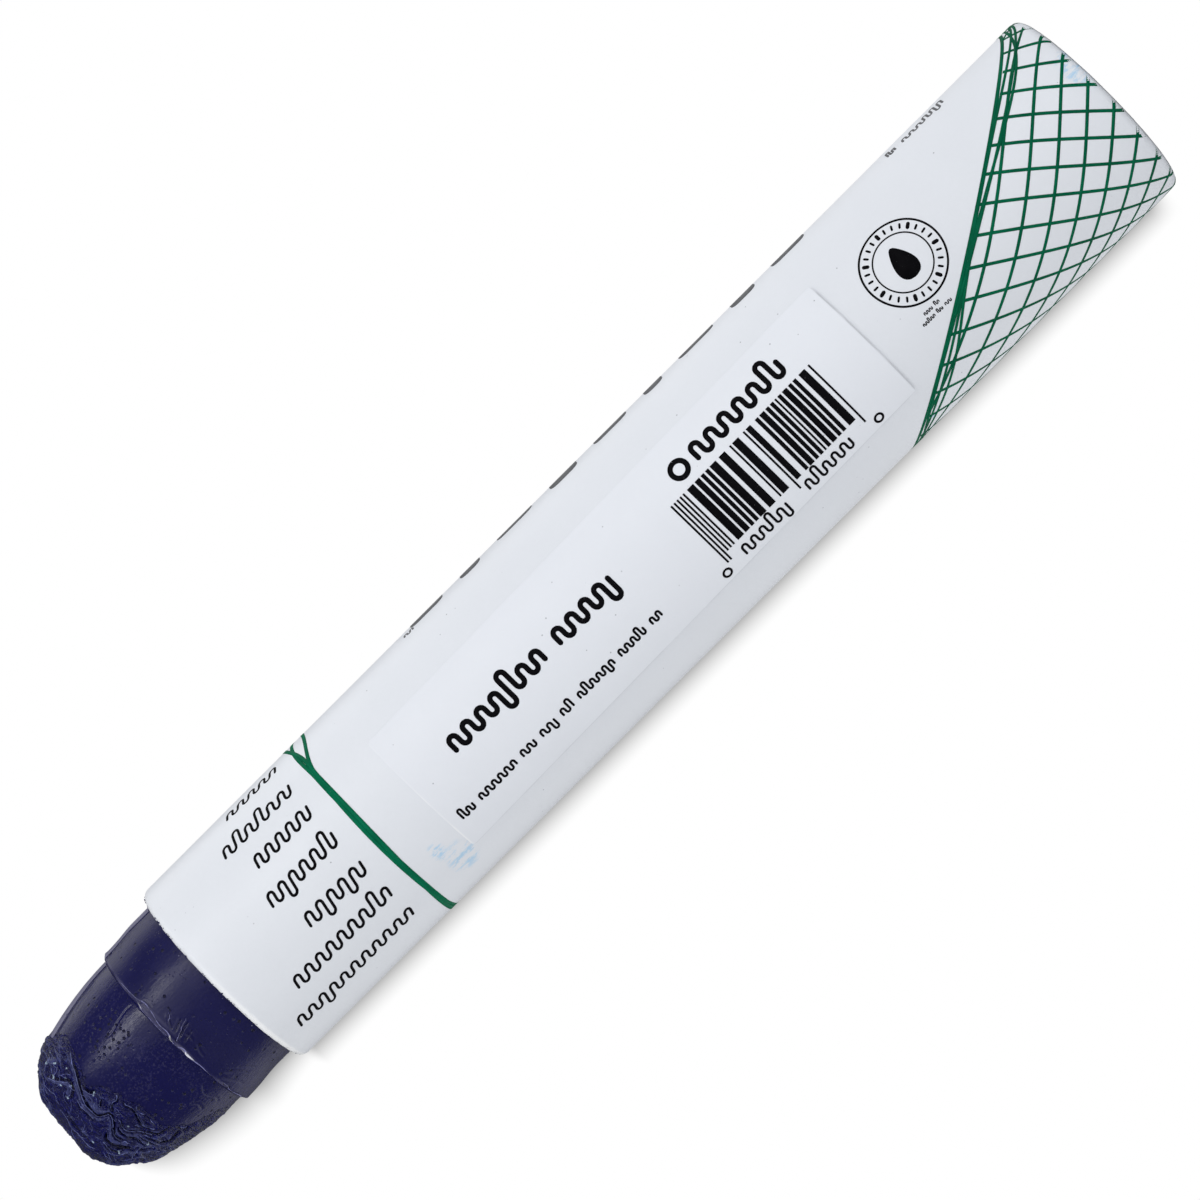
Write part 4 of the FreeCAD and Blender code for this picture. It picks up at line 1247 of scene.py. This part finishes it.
def grown(name, mesh, tree, values):
    """Runs a tree on a mesh, its inputs set by their sockets' identifiers, and gives a plain piece."""
    seed = linked(name + "_drawn", mesh)
    modifier = seed.modifiers.new("grow", "NODES")
    modifier.node_group = tree
    for item in tree.interface.items_tree:
        if item.name in values:
            modifier[item.identifier] = values[item.name]
    seed.update_tag()
    view = bpy.context.evaluated_depsgraph_get()
    plain = bpy.data.meshes.new_from_object(seed.evaluated_get(view), depsgraph=view)
    plain.name = name
    seed.modifiers.clear()
    bpy.data.objects.remove(seed)
    if not plain.polygons:
        raise RuntimeError(f"{name} came out empty")
    return linked(name, plain)


def print_on(name, drawing, tree, radius, ink, step=None):
    """Rolls a drawing on to the wrap or the label as a piece of ink, with points a step apart."""
    printing, paper = bpy.context.scene.marker_print, bpy.context.scene.marker_paper
    values = {
        "Radius": radius, "Film": printing.film, "Step": step or printing.step,
        "Rounding": paper.rounding, "Ink": ink,
    }
    slot = "label_paper" if radius == LABEL_RADIUS else "wrap_paper"
    finished(grown(name, drawing.mesh(), tree, values), "sleeve")


def ink_finish(name, ink, spread=0.12):
    """Printing ink with slight clouds, tiny pinholes of paper and a soft shine."""
    finish = Finish(name, Specular_IOR_Level=0.04, IOR=1.45)
    place = finish.place()
    clouds = finish.noise(place, 2.2 * MM, 3) - 0.5
    grain = finish.noise(place, 0.09 * MM, 2, 0.6)
    tone = (clouds * 1.2 + (grain - 0.5) * 0.8 + 0.5).rise(0.1, 0.9)
    body = finish.shades(tone, ink, 1 - spread, 1 + spread)
    body = finish.blend(grain.rise(0.70, 0.78) * 0.25, body, (0.5, 0.52, 0.54))
    normal = finish.relief(grain, 0.004 * MM)
    finish.give(Base_Color=body, Roughness=clouds * 0.15 + 0.5, Normal=normal)
    return finish.material


# Way round the sleeve in mm, points along a line of the net, and the fewest that are drawn
ROUND_WAY = 2 * math.pi * WRAP_RADIUS / MM
NET_POINTS, SHORTEST_RUN = 160, 7


def net_edge(x, printing):
    """Height of the net's edge, in mm, at each distance round the sleeve."""
    turn = np.asarray(x) * MM / WRAP_RADIUS
    return (printing.net_edge + printing.net_swing * np.cos(turn - printing.net_turn)) / MM


def draw_net(printing):
    """Two families of leaning lines that end at a wavy edge, and the strands along that edge."""
    drawing = Drawing()
    half = printing.net_line / 2 / MM
    lean = math.tan(printing.net_lean)
    heights = np.linspace(0.10, (printing.net_edge + printing.net_swing) / MM, NET_POINTS)
    for family, way in ((0, 1), (1, -1)):
        for i in range(printing.net_lines):
            start = (i + 0.25 + 0.5 * family) * ROUND_WAY / printing.net_lines
            across = start + way * (heights * lean + 1.2 * np.sin(heights / 7.0))
            inside = heights < net_edge(across, printing)
            runs = np.flatnonzero(np.diff(np.concatenate(([0], inside.astype(int), [0]))))
            for first, last in zip(runs[::2], runs[1::2]):
                if last - first > SHORTEST_RUN:
                    line = np.stack([across[first:last], heights[first:last]], axis=-1)
                    drawing.stroke(line, half, 0.004 * family)
    around = np.linspace(0, ROUND_WAY, 400)
    strands = ((0.0, 0.0, 0), (-0.55, 0.45, 3), (-1.25, 0.75, 4), (-0.9, 0.7, 2))
    for k, (shift, sway, waves) in enumerate(strands):
        swing = sway * np.sin(waves * around * MM / WRAP_RADIUS + k)
        line = np.stack([around, net_edge(around, printing) + shift + swing], axis=-1)
        drawing.stroke(line, half * (1.25 if k == 0 else 0.85), 0.008 + 0.004 * k)
    return drawing


def draw_ring(printing):
    """Three strands that cross gently on their way round the sleeve."""
    drawing = Drawing()
    around = np.linspace(0, ROUND_WAY, 500)
    turn = around * MM / WRAP_RADIUS
    opening = 0.20 + 0.95 * smooth(np.cos(turn - math.radians(95)), 0.55, 1.0)
    for k in range(3):
        sway = opening * np.sin(2 * turn + k * 2.1) * (1 if k else 0.4)
        line = np.stack([around, printing.ring_height / MM + sway], axis=-1)
        drawing.stroke(line, 0.17, 0.004 * k)
    return drawing


def draw_mouth_lines(dice):
    """Seven short leaning lines of made-up words, level at the side away from the mouth."""
    drawing = Drawing()
    lines = ((11.1, 5.8), (7.3, 7.7), (4.4, 6.2), (1.3, 7.5), (-1.9, 6.5), (-4.9, 10.7), (-8.0, 12.9))
    for x, run in lines:
        word(drawing, x - 0.5, 83.9 + run, run - 0.2, 1.35, 0.118, dice, 0.22)
    return drawing


def draw_seal(dice):
    """A plain round mark: two rings with ticks between them round a drop, and two short lines."""
    drawing = Drawing()
    x, y = 1.86, 20.73
    drawing.ring(x, y, 3.52, 0.085)
    drawing.ring(x, y, 2.42, 0.06)
    ticks = 28
    for i in range(ticks):
        turn = 2 * math.pi * i / ticks
        low, high, half = (2.72, 3.22, 0.09) if i % 4 else (2.66, 3.28, 0.15)
        drawing.round_stroke([(x + r * math.cos(turn), y + r * math.sin(turn)) for r in (low, high)], half)
    along = np.linspace(0, 1, 24)
    drop = 0.98 * np.sqrt(np.clip(1 - (2 * along - 1) ** 2, 0, 1)) * (1 - 0.62 * along)
    drawing.stroke(np.stack([x - 1.55 + 3.1 * along, 0 * along + y], axis=-1), drop * 1.35)
    words(drawing, x - 4.3, y + 1.75, (0.9, 0.5), 0.32, 0.045, dice)
    words(drawing, x - 4.9, y + 2.4, (1.3, 0.6, 0.7), 0.32, 0.045, dice)
    return drawing


def draw_blocks(dice):
    """Large plain slabs down the back of the sleeve, with two small lines."""
    drawing = Drawing()
    y = 68.5
    for wide, start, end in (
        (3.6, 12.2, 22.0), (2.2, 12.0, 19.0), (3.9, 12.5, 21.5), (3.0, 11.8, 22.0), (3.6, 12.2, 20.2),
        (2.0, 11.9, 22.0), (3.8, 12.3, 21.0), (2.6, 11.8, 22.0), (3.6, 12.1, 20.6),
    ):
        half, corner = wide / 2, 0.7
        ends = corner * (1 - np.cos(np.linspace(0, math.pi / 2, 6)))
        wide_ends = half - corner + corner * np.sin(np.linspace(0, math.pi / 2, 6))
        across = np.concatenate([start + ends, end - ends[::-1]])
        middle = np.stack([across, 0 * across + y - half], axis=-1)
        drawing.stroke(middle, np.concatenate([wide_ends, wide_ends[::-1]]))
        y -= wide + 2.0
    words(drawing, 11.0, 15.3, (1.0, 4.6), 0.9, 0.10, dice)
    words(drawing, 11.6, 69.4, (1.1,), 0.8, 0.09, dice)
    return drawing


def draw_label_lines(dice):
    """The label's words: a bold line over the bars, fine ones under them, a bold and a small line."""
    drawing = Drawing()
    drawing.ring(3.35, -7.5, 0.72, 0.22)
    words(drawing, 2.45, -9.0, (10.0,), 1.8, 0.215, dice)
    words(drawing, 0.1, 20.6, (10.4, 6.6), 1.75, 0.215, dice)
    words(drawing, -4.0, 24.0, (1.5, 4.1, 1.6, 1.7, 1.3, 4.0, 2.9, 1.2), 0.80, 0.098, dice)
    words(drawing, -5.75, -6.4, (5.1,), 1.15, 0.105, dice)
    words(drawing, -5.75, -13.5, (5.1,), 1.15, 0.105, dice)
    for y in (-4.35, -21.35):
        drawing.ring(-5.5, y, 0.36, 0.10)
    return drawing


def draw_bars(dice):
    """A made-up block of bars, with longer ones at its ends and in its middle."""
    drawing = Drawing()
    module = 0.169
    place = 0
    while place < 93:
        guard = place < 3 or 44 < place < 49 or place > 89
        wide = 1 if guard else dice.choice((1, 2, 2, 3, 4))
        y = -4.9 - (place + wide / 2) * module
        foot = -4.85 if guard else -4.05
        drawing.stroke([(foot, y), (1.75, y)], wide * module / 2 * 0.99)
        place += wide + (1 if guard else dice.choice((1, 1, 1, 2, 3)))
    return drawing


# Thin bright ridges of the stick, as (across, height, half width) in mm: the collar's lip, and hairs.
# Their bright colour is partly rubbing and partly painted highlight.
STICK_RIDGES = (
    ((-5.34, 104.31, 0.02), (-3.64, 104.19, 0.035), (-2.9, 103.92, 0.045), (-2.06, 103.98, 0.03),
     (-0.87, 104.25, 0.035), (-0.02, 104.2, 0.045), (0.43, 104.31, 0.065), (0.94, 104.52, 0.055),
     (1.34, 104.42, 0.04), (1.87, 104.28, 0.05), (2.3, 104.33, 0.08), (2.94, 104.36, 0.065),
     (3.66, 104.3, 0.045), (4.34, 104.3, 0.03), (4.9, 104.36, 0.008)),
    ((-3.1, 104.42, 0.01), (-2.6, 104.48, 0.035), (-1.7, 104.46, 0.025), (-0.9, 104.48, 0.035),
     (0.2, 104.46, 0.02)),
    ((5.6, 104.3, 0.01), (6.2, 104.25, 0.03), (6.9, 104.3, 0.025), (7.5, 104.25, 0.04), (8.0, 104.3, 0.05)),
    ((0.35, 102.39, 0.01), (0.64, 103.27, 0.03), (0.85, 103.8, 0.025), (1.08, 104.2, 0.03)),
    ((-1.0, 103.06, 0.01), (-0.65, 103.3, 0.03), (-0.3, 103.67, 0.015)),
)

# Painted glints where the lip's crest shines, laid on it as bright ridges, in the same way
LIP_GLINTS = (
    ((0.28, 104.24, 0.02), (0.42, 104.3, 0.075), (0.65, 104.42, 0.075), (0.95, 104.52, 0.02)),
    ((1.9, 104.28, 0.02), (2.3, 104.33, 0.095), (2.65, 104.35, 0.09), (3.3, 104.34, 0.03)),
    ((-3.3, 104.3, 0.006), (-3.0, 104.36, 0.035), (-2.6, 104.42, 0.006)),
)


def ridge_points(stick, lines):
    """Strokes on the stick's outline from lines of (across, height, half width) in mm, as a mesh."""
    outline = stick_line(stick)
    points, edges, halves = [], [], []
    for line in lines:
        across, heights, widths = run_through(line, 5 * len(line)).T * MM
        radii = np.interp(heights, outline[:, 1], outline[:, 0])
        depth = np.sqrt(np.maximum(radii**2 - across**2, 0))
        edges += [(i, i + 1) for i in range(len(points), len(points) + len(across) - 1)]
        points += np.stack([-across, -depth, heights], axis=1).tolist()
        halves += np.maximum(widths, 0.004 * MM).tolist()
    return marked_mesh(points, edges, half=halves)


def bank_lines(dice):
    """Ridges that stand beside the folds of the dried skin, now on one side and now on the other."""
    lines = []
    for points, _, half_width, left_bank, right_bank in FOLDS:
        line = run_through(points, 3 * len(points))
        run = np.gradient(line, axis=0)
        left = np.stack([-run[:, 1], run[:, 0]], axis=1) / np.hypot(*run.T)[:, None]
        side = 1 if left_bank >= right_bank else -1
        off = half_width * (1.15 + 0.25 * np.array([dice.random() for _ in line]))[:, None]
        half = np.array([dice.uniform(0.014, 0.056) for _ in line])[:, None]
        half[0] = half[-1] = 0.008
        lines.append(np.hstack([line + left * side * off, half]))
    return lines


def wrinkle_lines(dice, count):
    """Short fine wrinkles on the front of the dried skin, as (across, height, half width) in mm."""
    lines = []
    while len(lines) < count:
        across, height = dice.uniform(-6.2, 6.6), dice.uniform(109.6, 115.8)
        if height < 111.4 - across * 0.22 or (across / 7.2) ** 2 + ((height - 109) / 7.4) ** 2 > 1:
            continue
        heading = dice.gauss(-0.25 if across > 0 else 0.35, 0.4)
        line = []
        for i in range(dice.randint(3, 7)):
            line.append((across, height, dice.uniform(0.006, 0.026) if i else 0.004))
            heading += dice.gauss(0, 0.35)
            across += 0.24 * math.cos(heading)
            height += 0.24 * math.sin(heading)
        lines.append(line + [(across, height, 0.004)])
    return lines


def strand_tree():
    """Geometry nodes that lay strokes on a surface as round ridges of their own width."""
    graph = Graph("lay ridges", Strokes="Geometry", Surface="Object", Step="Float", Paint="Material")
    surface = graph.geometry("ObjectInfo", "Geometry", Object=graph.given["Surface"])
    nearest = graph.add("GeometryNodeProximity", "Position", {"target_element": "FACES"}, {0: surface})
    line = graph.geometry("SetPosition", "Geometry", Geometry=graph.strokes(), Position=nearest)
    section = graph.geometry("CurvePrimitiveCircle", "Curve", Resolution=6, Radius=1.0)
    return graph.end(graph.swept(line, section), "Paint")


def ridge_finish(name, base):
    """Paint of a thin ridge, darker in patches; on the lip, its glints and the skin's ridges its light colour
    is painted highlight.
    """
    finish = Finish(name, Specular_IOR_Level=0.6, IOR=1.5)
    place = finish.place()
    patches = finish.noise(place, 0.5 * MM, 2).rise(0.35, 0.65)
    normal = finish.relief(finish.noise(place, 0.1 * MM, 2), 0.02 * MM)
    finish.give(Base_Color=finish.shades(patches, base, 0.35), Roughness=patches * 0.1 + 0.25, Normal=normal)
    return finish.material


class MARKER_OT_ridges(bpy.types.Operator):
    """Lay the thin ridges on the lip of the collar and beside the folds of the skin"""

    bl_idname = "marker.ridges"
    bl_label = "Ridges"

    def execute(self, context):
        stick = context.scene.marker_stick
        tree = strand_tree()
        dice = random.Random(3)
        for name, lines, surface, ridge in (
            # Lip colour: partly painted highlight; glint and skin crest colours: painted highlight.
            ("lip_ridges", STICK_RIDGES, "moulded_stick", stick.lip),
            ("lip_glints", LIP_GLINTS, "moulded_stick", stick.shine),
            ("skin_ridges", bank_lines(dice) + wrinkle_lines(dice, 70), "dried_skin", stick.crest),
        ):
            paint = ridge_finish(name.replace("_", " "), ridge)
            values = {"Surface": bpy.data.objects[surface], "Step": 0.05 * MM, "Paint": paint}
            piece = grown(name, ridge_points(stick, lines), tree, values)
            piece.data.shade_smooth()
            finished(piece, "stick")
        return {"FINISHED"}


def crumb_tree():
    """Geometry nodes that set a small lump of its own size, turn and shape on every marked place."""
    graph = Graph("scatter crumbs", Places="Geometry", Seed="Int", Lumpiness="Float", Paint="Material")
    ball = graph.geometry("MeshIcoSphere", "Mesh", Radius=1.0, Subdivisions=2)
    values = {"Min": (0.0, 0.0, 0.0), "Max": (2 * math.pi,) * 3, "Seed": graph.given["Seed"]}
    turn = graph.add("FunctionNodeRandomValue", "Value", {"data_type": "FLOAT_VECTOR"}, values)
    values = {"Points": graph.given["Places"], "Rotation": turn, "Scale": graph.mark("size")}
    lumps = graph.geometry("InstanceOnPoints", "Instances", Instance=ball, **values)
    lumps = graph.geometry("RealizeInstances", "Geometry", Geometry=lumps)
    bumps = graph.noise(graph.geometry("InputPosition", "Position"), 0.09 * MM, 1)
    values = {0: graph.geometry("InputNormal", "Normal"), "Scale": (bumps - 0.5) * graph.given["Lumpiness"]}
    push = graph.add("ShaderNodeVectorMath", "Vector", {"operation": "SCALE"}, values)
    return graph.end(graph.geometry("SetPosition", "Geometry", Geometry=lumps, Offset=push), "Paint")


def crumb_places(spots):
    """A mesh of loose points from (degrees towards -X, radius, height, size), with sizes in mm."""
    turn, radii, heights, sizes = np.array(spots).T
    points = spun(radii * MM, heights * MM, np.radians(turn), -1)
    return marked_mesh(points.tolist(), [], size=sizes * MM)


class MARKER_OT_crumbs(bpy.types.Operator):
    """Scatter crumbs of paint along the sleeve's mouth and on the collar"""

    bl_idname = "marker.crumbs"
    bl_label = "Crumbs"

    def execute(self, context):
        stick = context.scene.marker_stick
        tree = crumb_tree()
        paint = ridge_finish("crumbs", stick.crumb)
        dice = random.Random(5)
        out, mouth = STICK_RADIUS / MM - 0.025, SLEEVE_LENGTH / MM
        shown = ((-26, 0.4, 0.07), (-47, 0.5, 0.06), (33, 0.3, 0.07))
        spots = [(turn, out, mouth + above, size) for turn, above, size in shown]
        for _ in range(70):
            height = mouth + 0.1 + dice.random() ** 2 * 1.2
            spots.append((dice.uniform(-180, 180), out, height, dice.uniform(0.02, 0.06)))
        for _ in range(60):
            turn, height = dice.uniform(20, 75), mouth + dice.uniform(0.4, 4.6)
            spots.append((turn, out, height, dice.uniform(0.015, 0.035)))
        values = {"Seed": 4, "Lumpiness": 0.05 * MM, "Paint": paint}
        crumbs = grown("stick_crumbs", crumb_places(spots), tree, values)
        lean_over(stick, crumbs)
        finished(crumbs, "stick")
        values["Paint"] = bpy.data.materials["moulded paint"]
        rounding = context.scene.marker_paper.rounding / MM
        spots = []
        for _ in range(150):
            slope, size = math.radians(dice.uniform(50, 80)), dice.uniform(0.025, 0.075)
            out = WRAP_RADIUS / MM - rounding * (1 - math.cos(slope))
            spots.append((dice.uniform(-180, 180), out, mouth - rounding * (1 - math.sin(slope)), size))
        finished(grown("rim_crumbs", crumb_places(spots), tree, values), "sleeve")
        return {"FINISHED"}


class MARKER_OT_sleeve_print(bpy.types.Operator):
    """Print the net, the ring, the lines, the round mark and the blocks on the sleeve"""

    bl_idname = "marker.sleeve_print"
    bl_label = "Sleeve print"

    def execute(self, context):
        printing = context.scene.marker_print
        tree = roll_tree()
        dice = random.Random(7)
        green = ink_finish("green ink", printing.green, 0.2)
        deep = ink_finish("net ink", [c * 0.78 for c in printing.green], 0.25)
        black = ink_finish("black ink", printing.black)
        grey = ink_finish("grey ink", printing.grey, 0.06)
        fine = 0.07 * MM
        print_on("green_net", draw_net(printing), tree, WRAP_RADIUS, deep)
        print_on("green_ring", draw_ring(printing), tree, WRAP_RADIUS, green)
        print_on("mouth_lines", draw_mouth_lines(dice), tree, WRAP_RADIUS, black, fine)
        print_on("round_mark", draw_seal(dice), tree, WRAP_RADIUS, black, fine)
        print_on("grey_blocks", draw_blocks(dice), tree, WRAP_RADIUS, grey, 0.1 * MM)
        return {"FINISHED"}


class MARKER_OT_label_print(bpy.types.Operator):
    """Print the words and the bars on the label"""

    bl_idname = "marker.label_print"
    bl_label = "Label print"

    def execute(self, context):
        tree = roll_tree()
        dice = random.Random(12)
        black = ink_finish("label ink", context.scene.marker_print.black)
        middle = (PRINT_TURN * LABEL_RADIUS, LABEL_MIDDLE)
        lines = draw_label_lines(dice).turned(middle, LABEL_SKEW)
        bars = draw_bars(dice).turned(middle, LABEL_SKEW)
        print_on("label_lines", lines, tree, LABEL_RADIUS, black, 0.07 * MM)
        print_on("label_bars", bars, tree, LABEL_RADIUS, black, 0.4 * MM)
        return {"FINISHED"}


# Stage

def lamp(name, place, target, size, power):
    """A lamp with a rectangular face that looks at a target."""
    light = bpy.data.lights.new(name, "AREA")
    light.shape = "RECTANGLE"
    light.size, light.size_y = size
    light.energy = power
    obj = linked(name, light)
    obj.rotation_mode = "QUATERNION"
    obj.location = place
    obj.rotation_quaternion = (place - target).normalized().to_track_quat("Z", "Y")


def tilted_camera(stage):
    """The photograph's camera: square to the sleeve, with the nose at the picture's lower left."""
    camera = linked("camera", bpy.data.cameras.new("camera"))
    place = Vector((-stage.camera_side, -stage.camera_distance, stage.camera_foot))
    back = (place - Vector((-stage.camera_side, 0, stage.camera_aim))).normalized()
    nose = (Vector((0, 0, 1)) - back * back.z).normalized()
    upper_left = nose.cross(back)
    right = -(nose + upper_left) / math.sqrt(2)
    up = (upper_left - nose) / math.sqrt(2)
    camera.rotation_mode = "QUATERNION"
    camera.location = place
    camera.rotation_quaternion = Matrix((right, up, back)).transposed().to_quaternion()
    camera.data.sensor_width = 36
    camera.data.lens = stage.camera_lens
    camera.data.clip_start, camera.data.clip_end = 0.02, 20
    bpy.context.scene.camera = camera


def light_the_world(stage):
    """Even daylight on the object, and plain white behind it."""
    world = bpy.data.worlds.new("daylight")
    bpy.context.scene.world = world
    sky = Sky(world)
    sky.shader.inputs["Color"].default_value = (0.97, 0.985, 1.0, 1.0)
    dimmed = sky.ray_is("Glossy") * (stage.reflected - stage.daylight) + stage.daylight
    sky.feed(sky.shader.inputs["Strength"], dimmed)
    shown = sky.ray_is("Camera").largest(sky.ray_is("Transmission"))
    sky.feed(sky.surface, sky.mixed(shown, sky.own, sky.glow("ShaderNodeBackground", 1)))


def floor_finish(stage):
    """Pale matt floor that keeps the object's shadow and shines white at a grazing look."""
    finish = Finish("floor", Roughness=0.9, Specular_IOR_Level=0.1)
    speckle = finish.noise(finish.place(), 4 * MM, 2)
    finish.give(Base_Color=finish.shades(speckle, stage.floor_colour, 0.99))
    glow, seen = finish.glow("ShaderNodeEmission", 1), finish.ray_is("Camera")
    grazing = finish.add("ShaderNodeLayerWeight", "Facing", None, {"Blend": 0.5}).rise(0.76, 0.84)
    lift = finish.mixed(0.36, finish.own, glow)
    finish.feed(finish.surface, finish.mixed(seen, finish.own, finish.mixed(grazing * seen, lift, glow)))
    return finish.material


def shade_finish(stage, stick):
    """Shade of the marker on the paper it lies on: dark along its side and gone a little way out."""
    finish = Finish("contact shade")
    x, _, z = finish.parts(finish.place())
    wider = z.rise(SLEEVE_LENGTH, SLEEVE_LENGTH + 8 * MM)
    out = 0 - x - outline_at(z, stick) - wider * 0.35 * MM
    fade = 1 - out / ((wider * 0.35 + 1) * stage.shade_reach)
    depth = fade.within().power(1.55) * stage.shade_depth
    tip = (x * -1).rise(-0.5 * MM, 6.5 * MM).largest(z.rise(STICK_CROWN - 5 * MM, STICK_CROWN - 9 * MM))
    front = 1 - finish.add("ShaderNodeNewGeometry", "Backfacing")
    clear = finish.add("ShaderNodeBsdfTransparent", 0)
    amount = depth * tip * front * z.rise(-0.2 * MM, 2.5 * MM)
    finish.feed(finish.surface, finish.mixed(amount, clear, finish.glow("ShaderNodeEmission", 0)))
    return finish.material


def outline_at(z, stick):
    """Radius of the whole marker's outline at a height, for the shade that follows it."""
    side, edge, _ = nose_arcs(stick)
    arcs = []
    for centre, radius, _, _ in (side, edge):
        rise = z - centre[1]
        arcs.append((radius**2 - rise * rise).largest(0.0).power(0.5) + centre[0])
    turnover = side[0][1] + side[1] * math.sin(side[3])
    beyond = z.math("GREATER_THAN", z, turnover)
    past_crown = (z - STICK_CROWN).largest(0.0)
    nose = arcs[0] * (1 - beyond) + arcs[1] * beyond - past_crown * 2
    on_nose = z.rise(stick.shoulder - 0.8 * MM, stick.shoulder + 1.4 * MM)
    shown = z.rise(SLEEVE_LENGTH - 0.2 * MM, SLEEVE_LENGTH + 0.9 * MM)
    collar = shown * (STICK_RADIUS - WRAP_RADIUS) + WRAP_RADIUS
    return collar * (1 - on_nose) + nose * on_nose


class MARKER_OT_stage(bpy.types.Operator):
    """Make the floor, the shade behind the marker, the lamps, the world and the camera"""

    bl_idname = "marker.stage"
    bl_label = "Stage"

    def execute(self, context):
        stage = context.scene.marker_stage
        floor = new_piece("floor", [(-4, -4, 0), (4, -4, 0), (4, 4, 0), (-4, 4, 0)], [(0, 1, 2, 3)])
        floor.data.materials.append(floor_finish(stage))
        left, right, y = -20 * MM, 2 * MM, WRAP_RADIUS + 0.2 * MM
        low, high = -0.5 * MM, STICK_CROWN + 12 * MM
        wall = [(left, y, low), (right, y, low), (right, y, high), (left, y, high)]
        shade = new_piece("contact_shade", wall, [(0, 1, 2, 3)])
        shade.data.materials.append(shade_finish(stage, context.scene.marker_stick))
        shade.visible_diffuse = shade.visible_glossy = False
        shade.visible_transmission = shade.visible_shadow = shade.visible_volume_scatter = False
        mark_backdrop(floor, shade)
        light_the_world(stage)
        middle = Vector((0, 0, (CAD_BOX[0].z + CAD_BOX[1].z) / 2))
        for name, azimuth, rise, size, power in (
            ("key", 42.3, 0.355, (0.06, 0.32), stage.key_power),
            ("front", 24.0, 0.06, (0.45, 0.60), stage.front_power),
            ("left", 124.0, 0.05, (0.50, 0.60), stage.left_power),
            ("right", -124.0, 0.05, (0.50, 0.60), stage.right_power),
        ):
            turn = math.radians(azimuth)
            place = middle + Vector((math.sin(turn), -math.cos(turn), rise)) * stage.lamp_distance
            lamp(name, place, middle, size, power)
        lamp("beyond", middle + Vector((0.10, -0.25, 0.66)), middle, (0.40, 0.30), stage.nose_power)
        tilted_camera(stage)
        return {"FINISHED"}


class MARKER_OT_papers(bpy.types.Operator):
    """Give the wound board, the wrap and the label their finishes"""

    bl_idname = "marker.papers"
    bl_label = "Board and papers"

    def execute(self, context):
        paper = context.scene.marker_paper
        board, wrap = make_board(paper), make_wrap(paper)
        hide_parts("board_tube")
        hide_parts("printed_wrap")
        finished(board, "sleeve", board_finish(paper))
        finished(wrap, "sleeve", wrap_finish(paper))
        label = frame["nodes"]["stuck_label"].data
        label.materials.clear()
        label.materials.append(label_finish(paper))
        return {"FINISHED"}


class MARKER_OT_stick(bpy.types.Operator):
    """Make the moulded stick and the dried skin on its tip"""

    bl_idname = "marker.stick"
    bl_label = "Paint stick"

    def execute(self, context):
        stick = context.scene.marker_stick
        moulded = make_stick(stick)
        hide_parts("paint_stick")
        finished(moulded, "stick", paint_finish("moulded paint", stick.paint, stick, False))
        skin = make_skin(stick)
        finished(skin, "stick", paint_finish("dried paint", stick.dried, stick, True))
        return {"FINISHED"}


class MARKER_PT_panel(bpy.types.Panel):
    """Lists the marker's sizes, colours and building steps"""

    bl_idname = "MARKER_PT_panel"
    bl_label = "Solid paint marker"
    bl_space_type = "VIEW_3D"
    bl_region_type = "UI"
    bl_category = "Marker"

    def draw(self, context):
        for group, names in GROUPS.items():
            box = self.layout.box()
            settings = getattr(context.scene, group)
            for name in names.__annotations__:
                box.prop(settings, name)
        for operator in STEPS:
            self.layout.operator(operator.bl_idname)


GROUPS = {
    "marker_stage": MARKER_PG_stage,
    "marker_stick": MARKER_PG_stick,
    "marker_paper": MARKER_PG_paper,
    "marker_print": MARKER_PG_print,
}
STEPS = (
    MARKER_OT_stage, MARKER_OT_papers, MARKER_OT_stick, MARKER_OT_ridges, MARKER_OT_crumbs,
    MARKER_OT_sleeve_print, MARKER_OT_label_print,
)


def register():
    """Adds the classes, and the settings that hang on the scene."""
    for made in (*GROUPS.values(), *STEPS, MARKER_PT_panel):
        bpy.utils.register_class(made)
    for name, group in GROUPS.items():
        setattr(bpy.types.Scene, name, bpy.props.PointerProperty(type=group))


def unregister():
    """Takes away what register added, in reverse order."""
    for name in GROUPS:
        delattr(bpy.types.Scene, name)
    for made in (MARKER_PT_panel, *reversed(STEPS), *reversed(GROUPS.values())):
        bpy.utils.unregister_class(made)


def main():
    """Builds the marker."""
    register()
    bpy.context.scene.view_settings.view_transform = "Standard"
    for operator in STEPS:
        group, name = operator.bl_idname.split(".")
        getattr(getattr(bpy.ops, group), name)()
    boxes = {"cad": CAD_BOX, "visual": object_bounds()}
    boxes = {name: [list(corner) for corner in box] for name, box in boxes.items()}


if __name__ == "__main__":
    main()
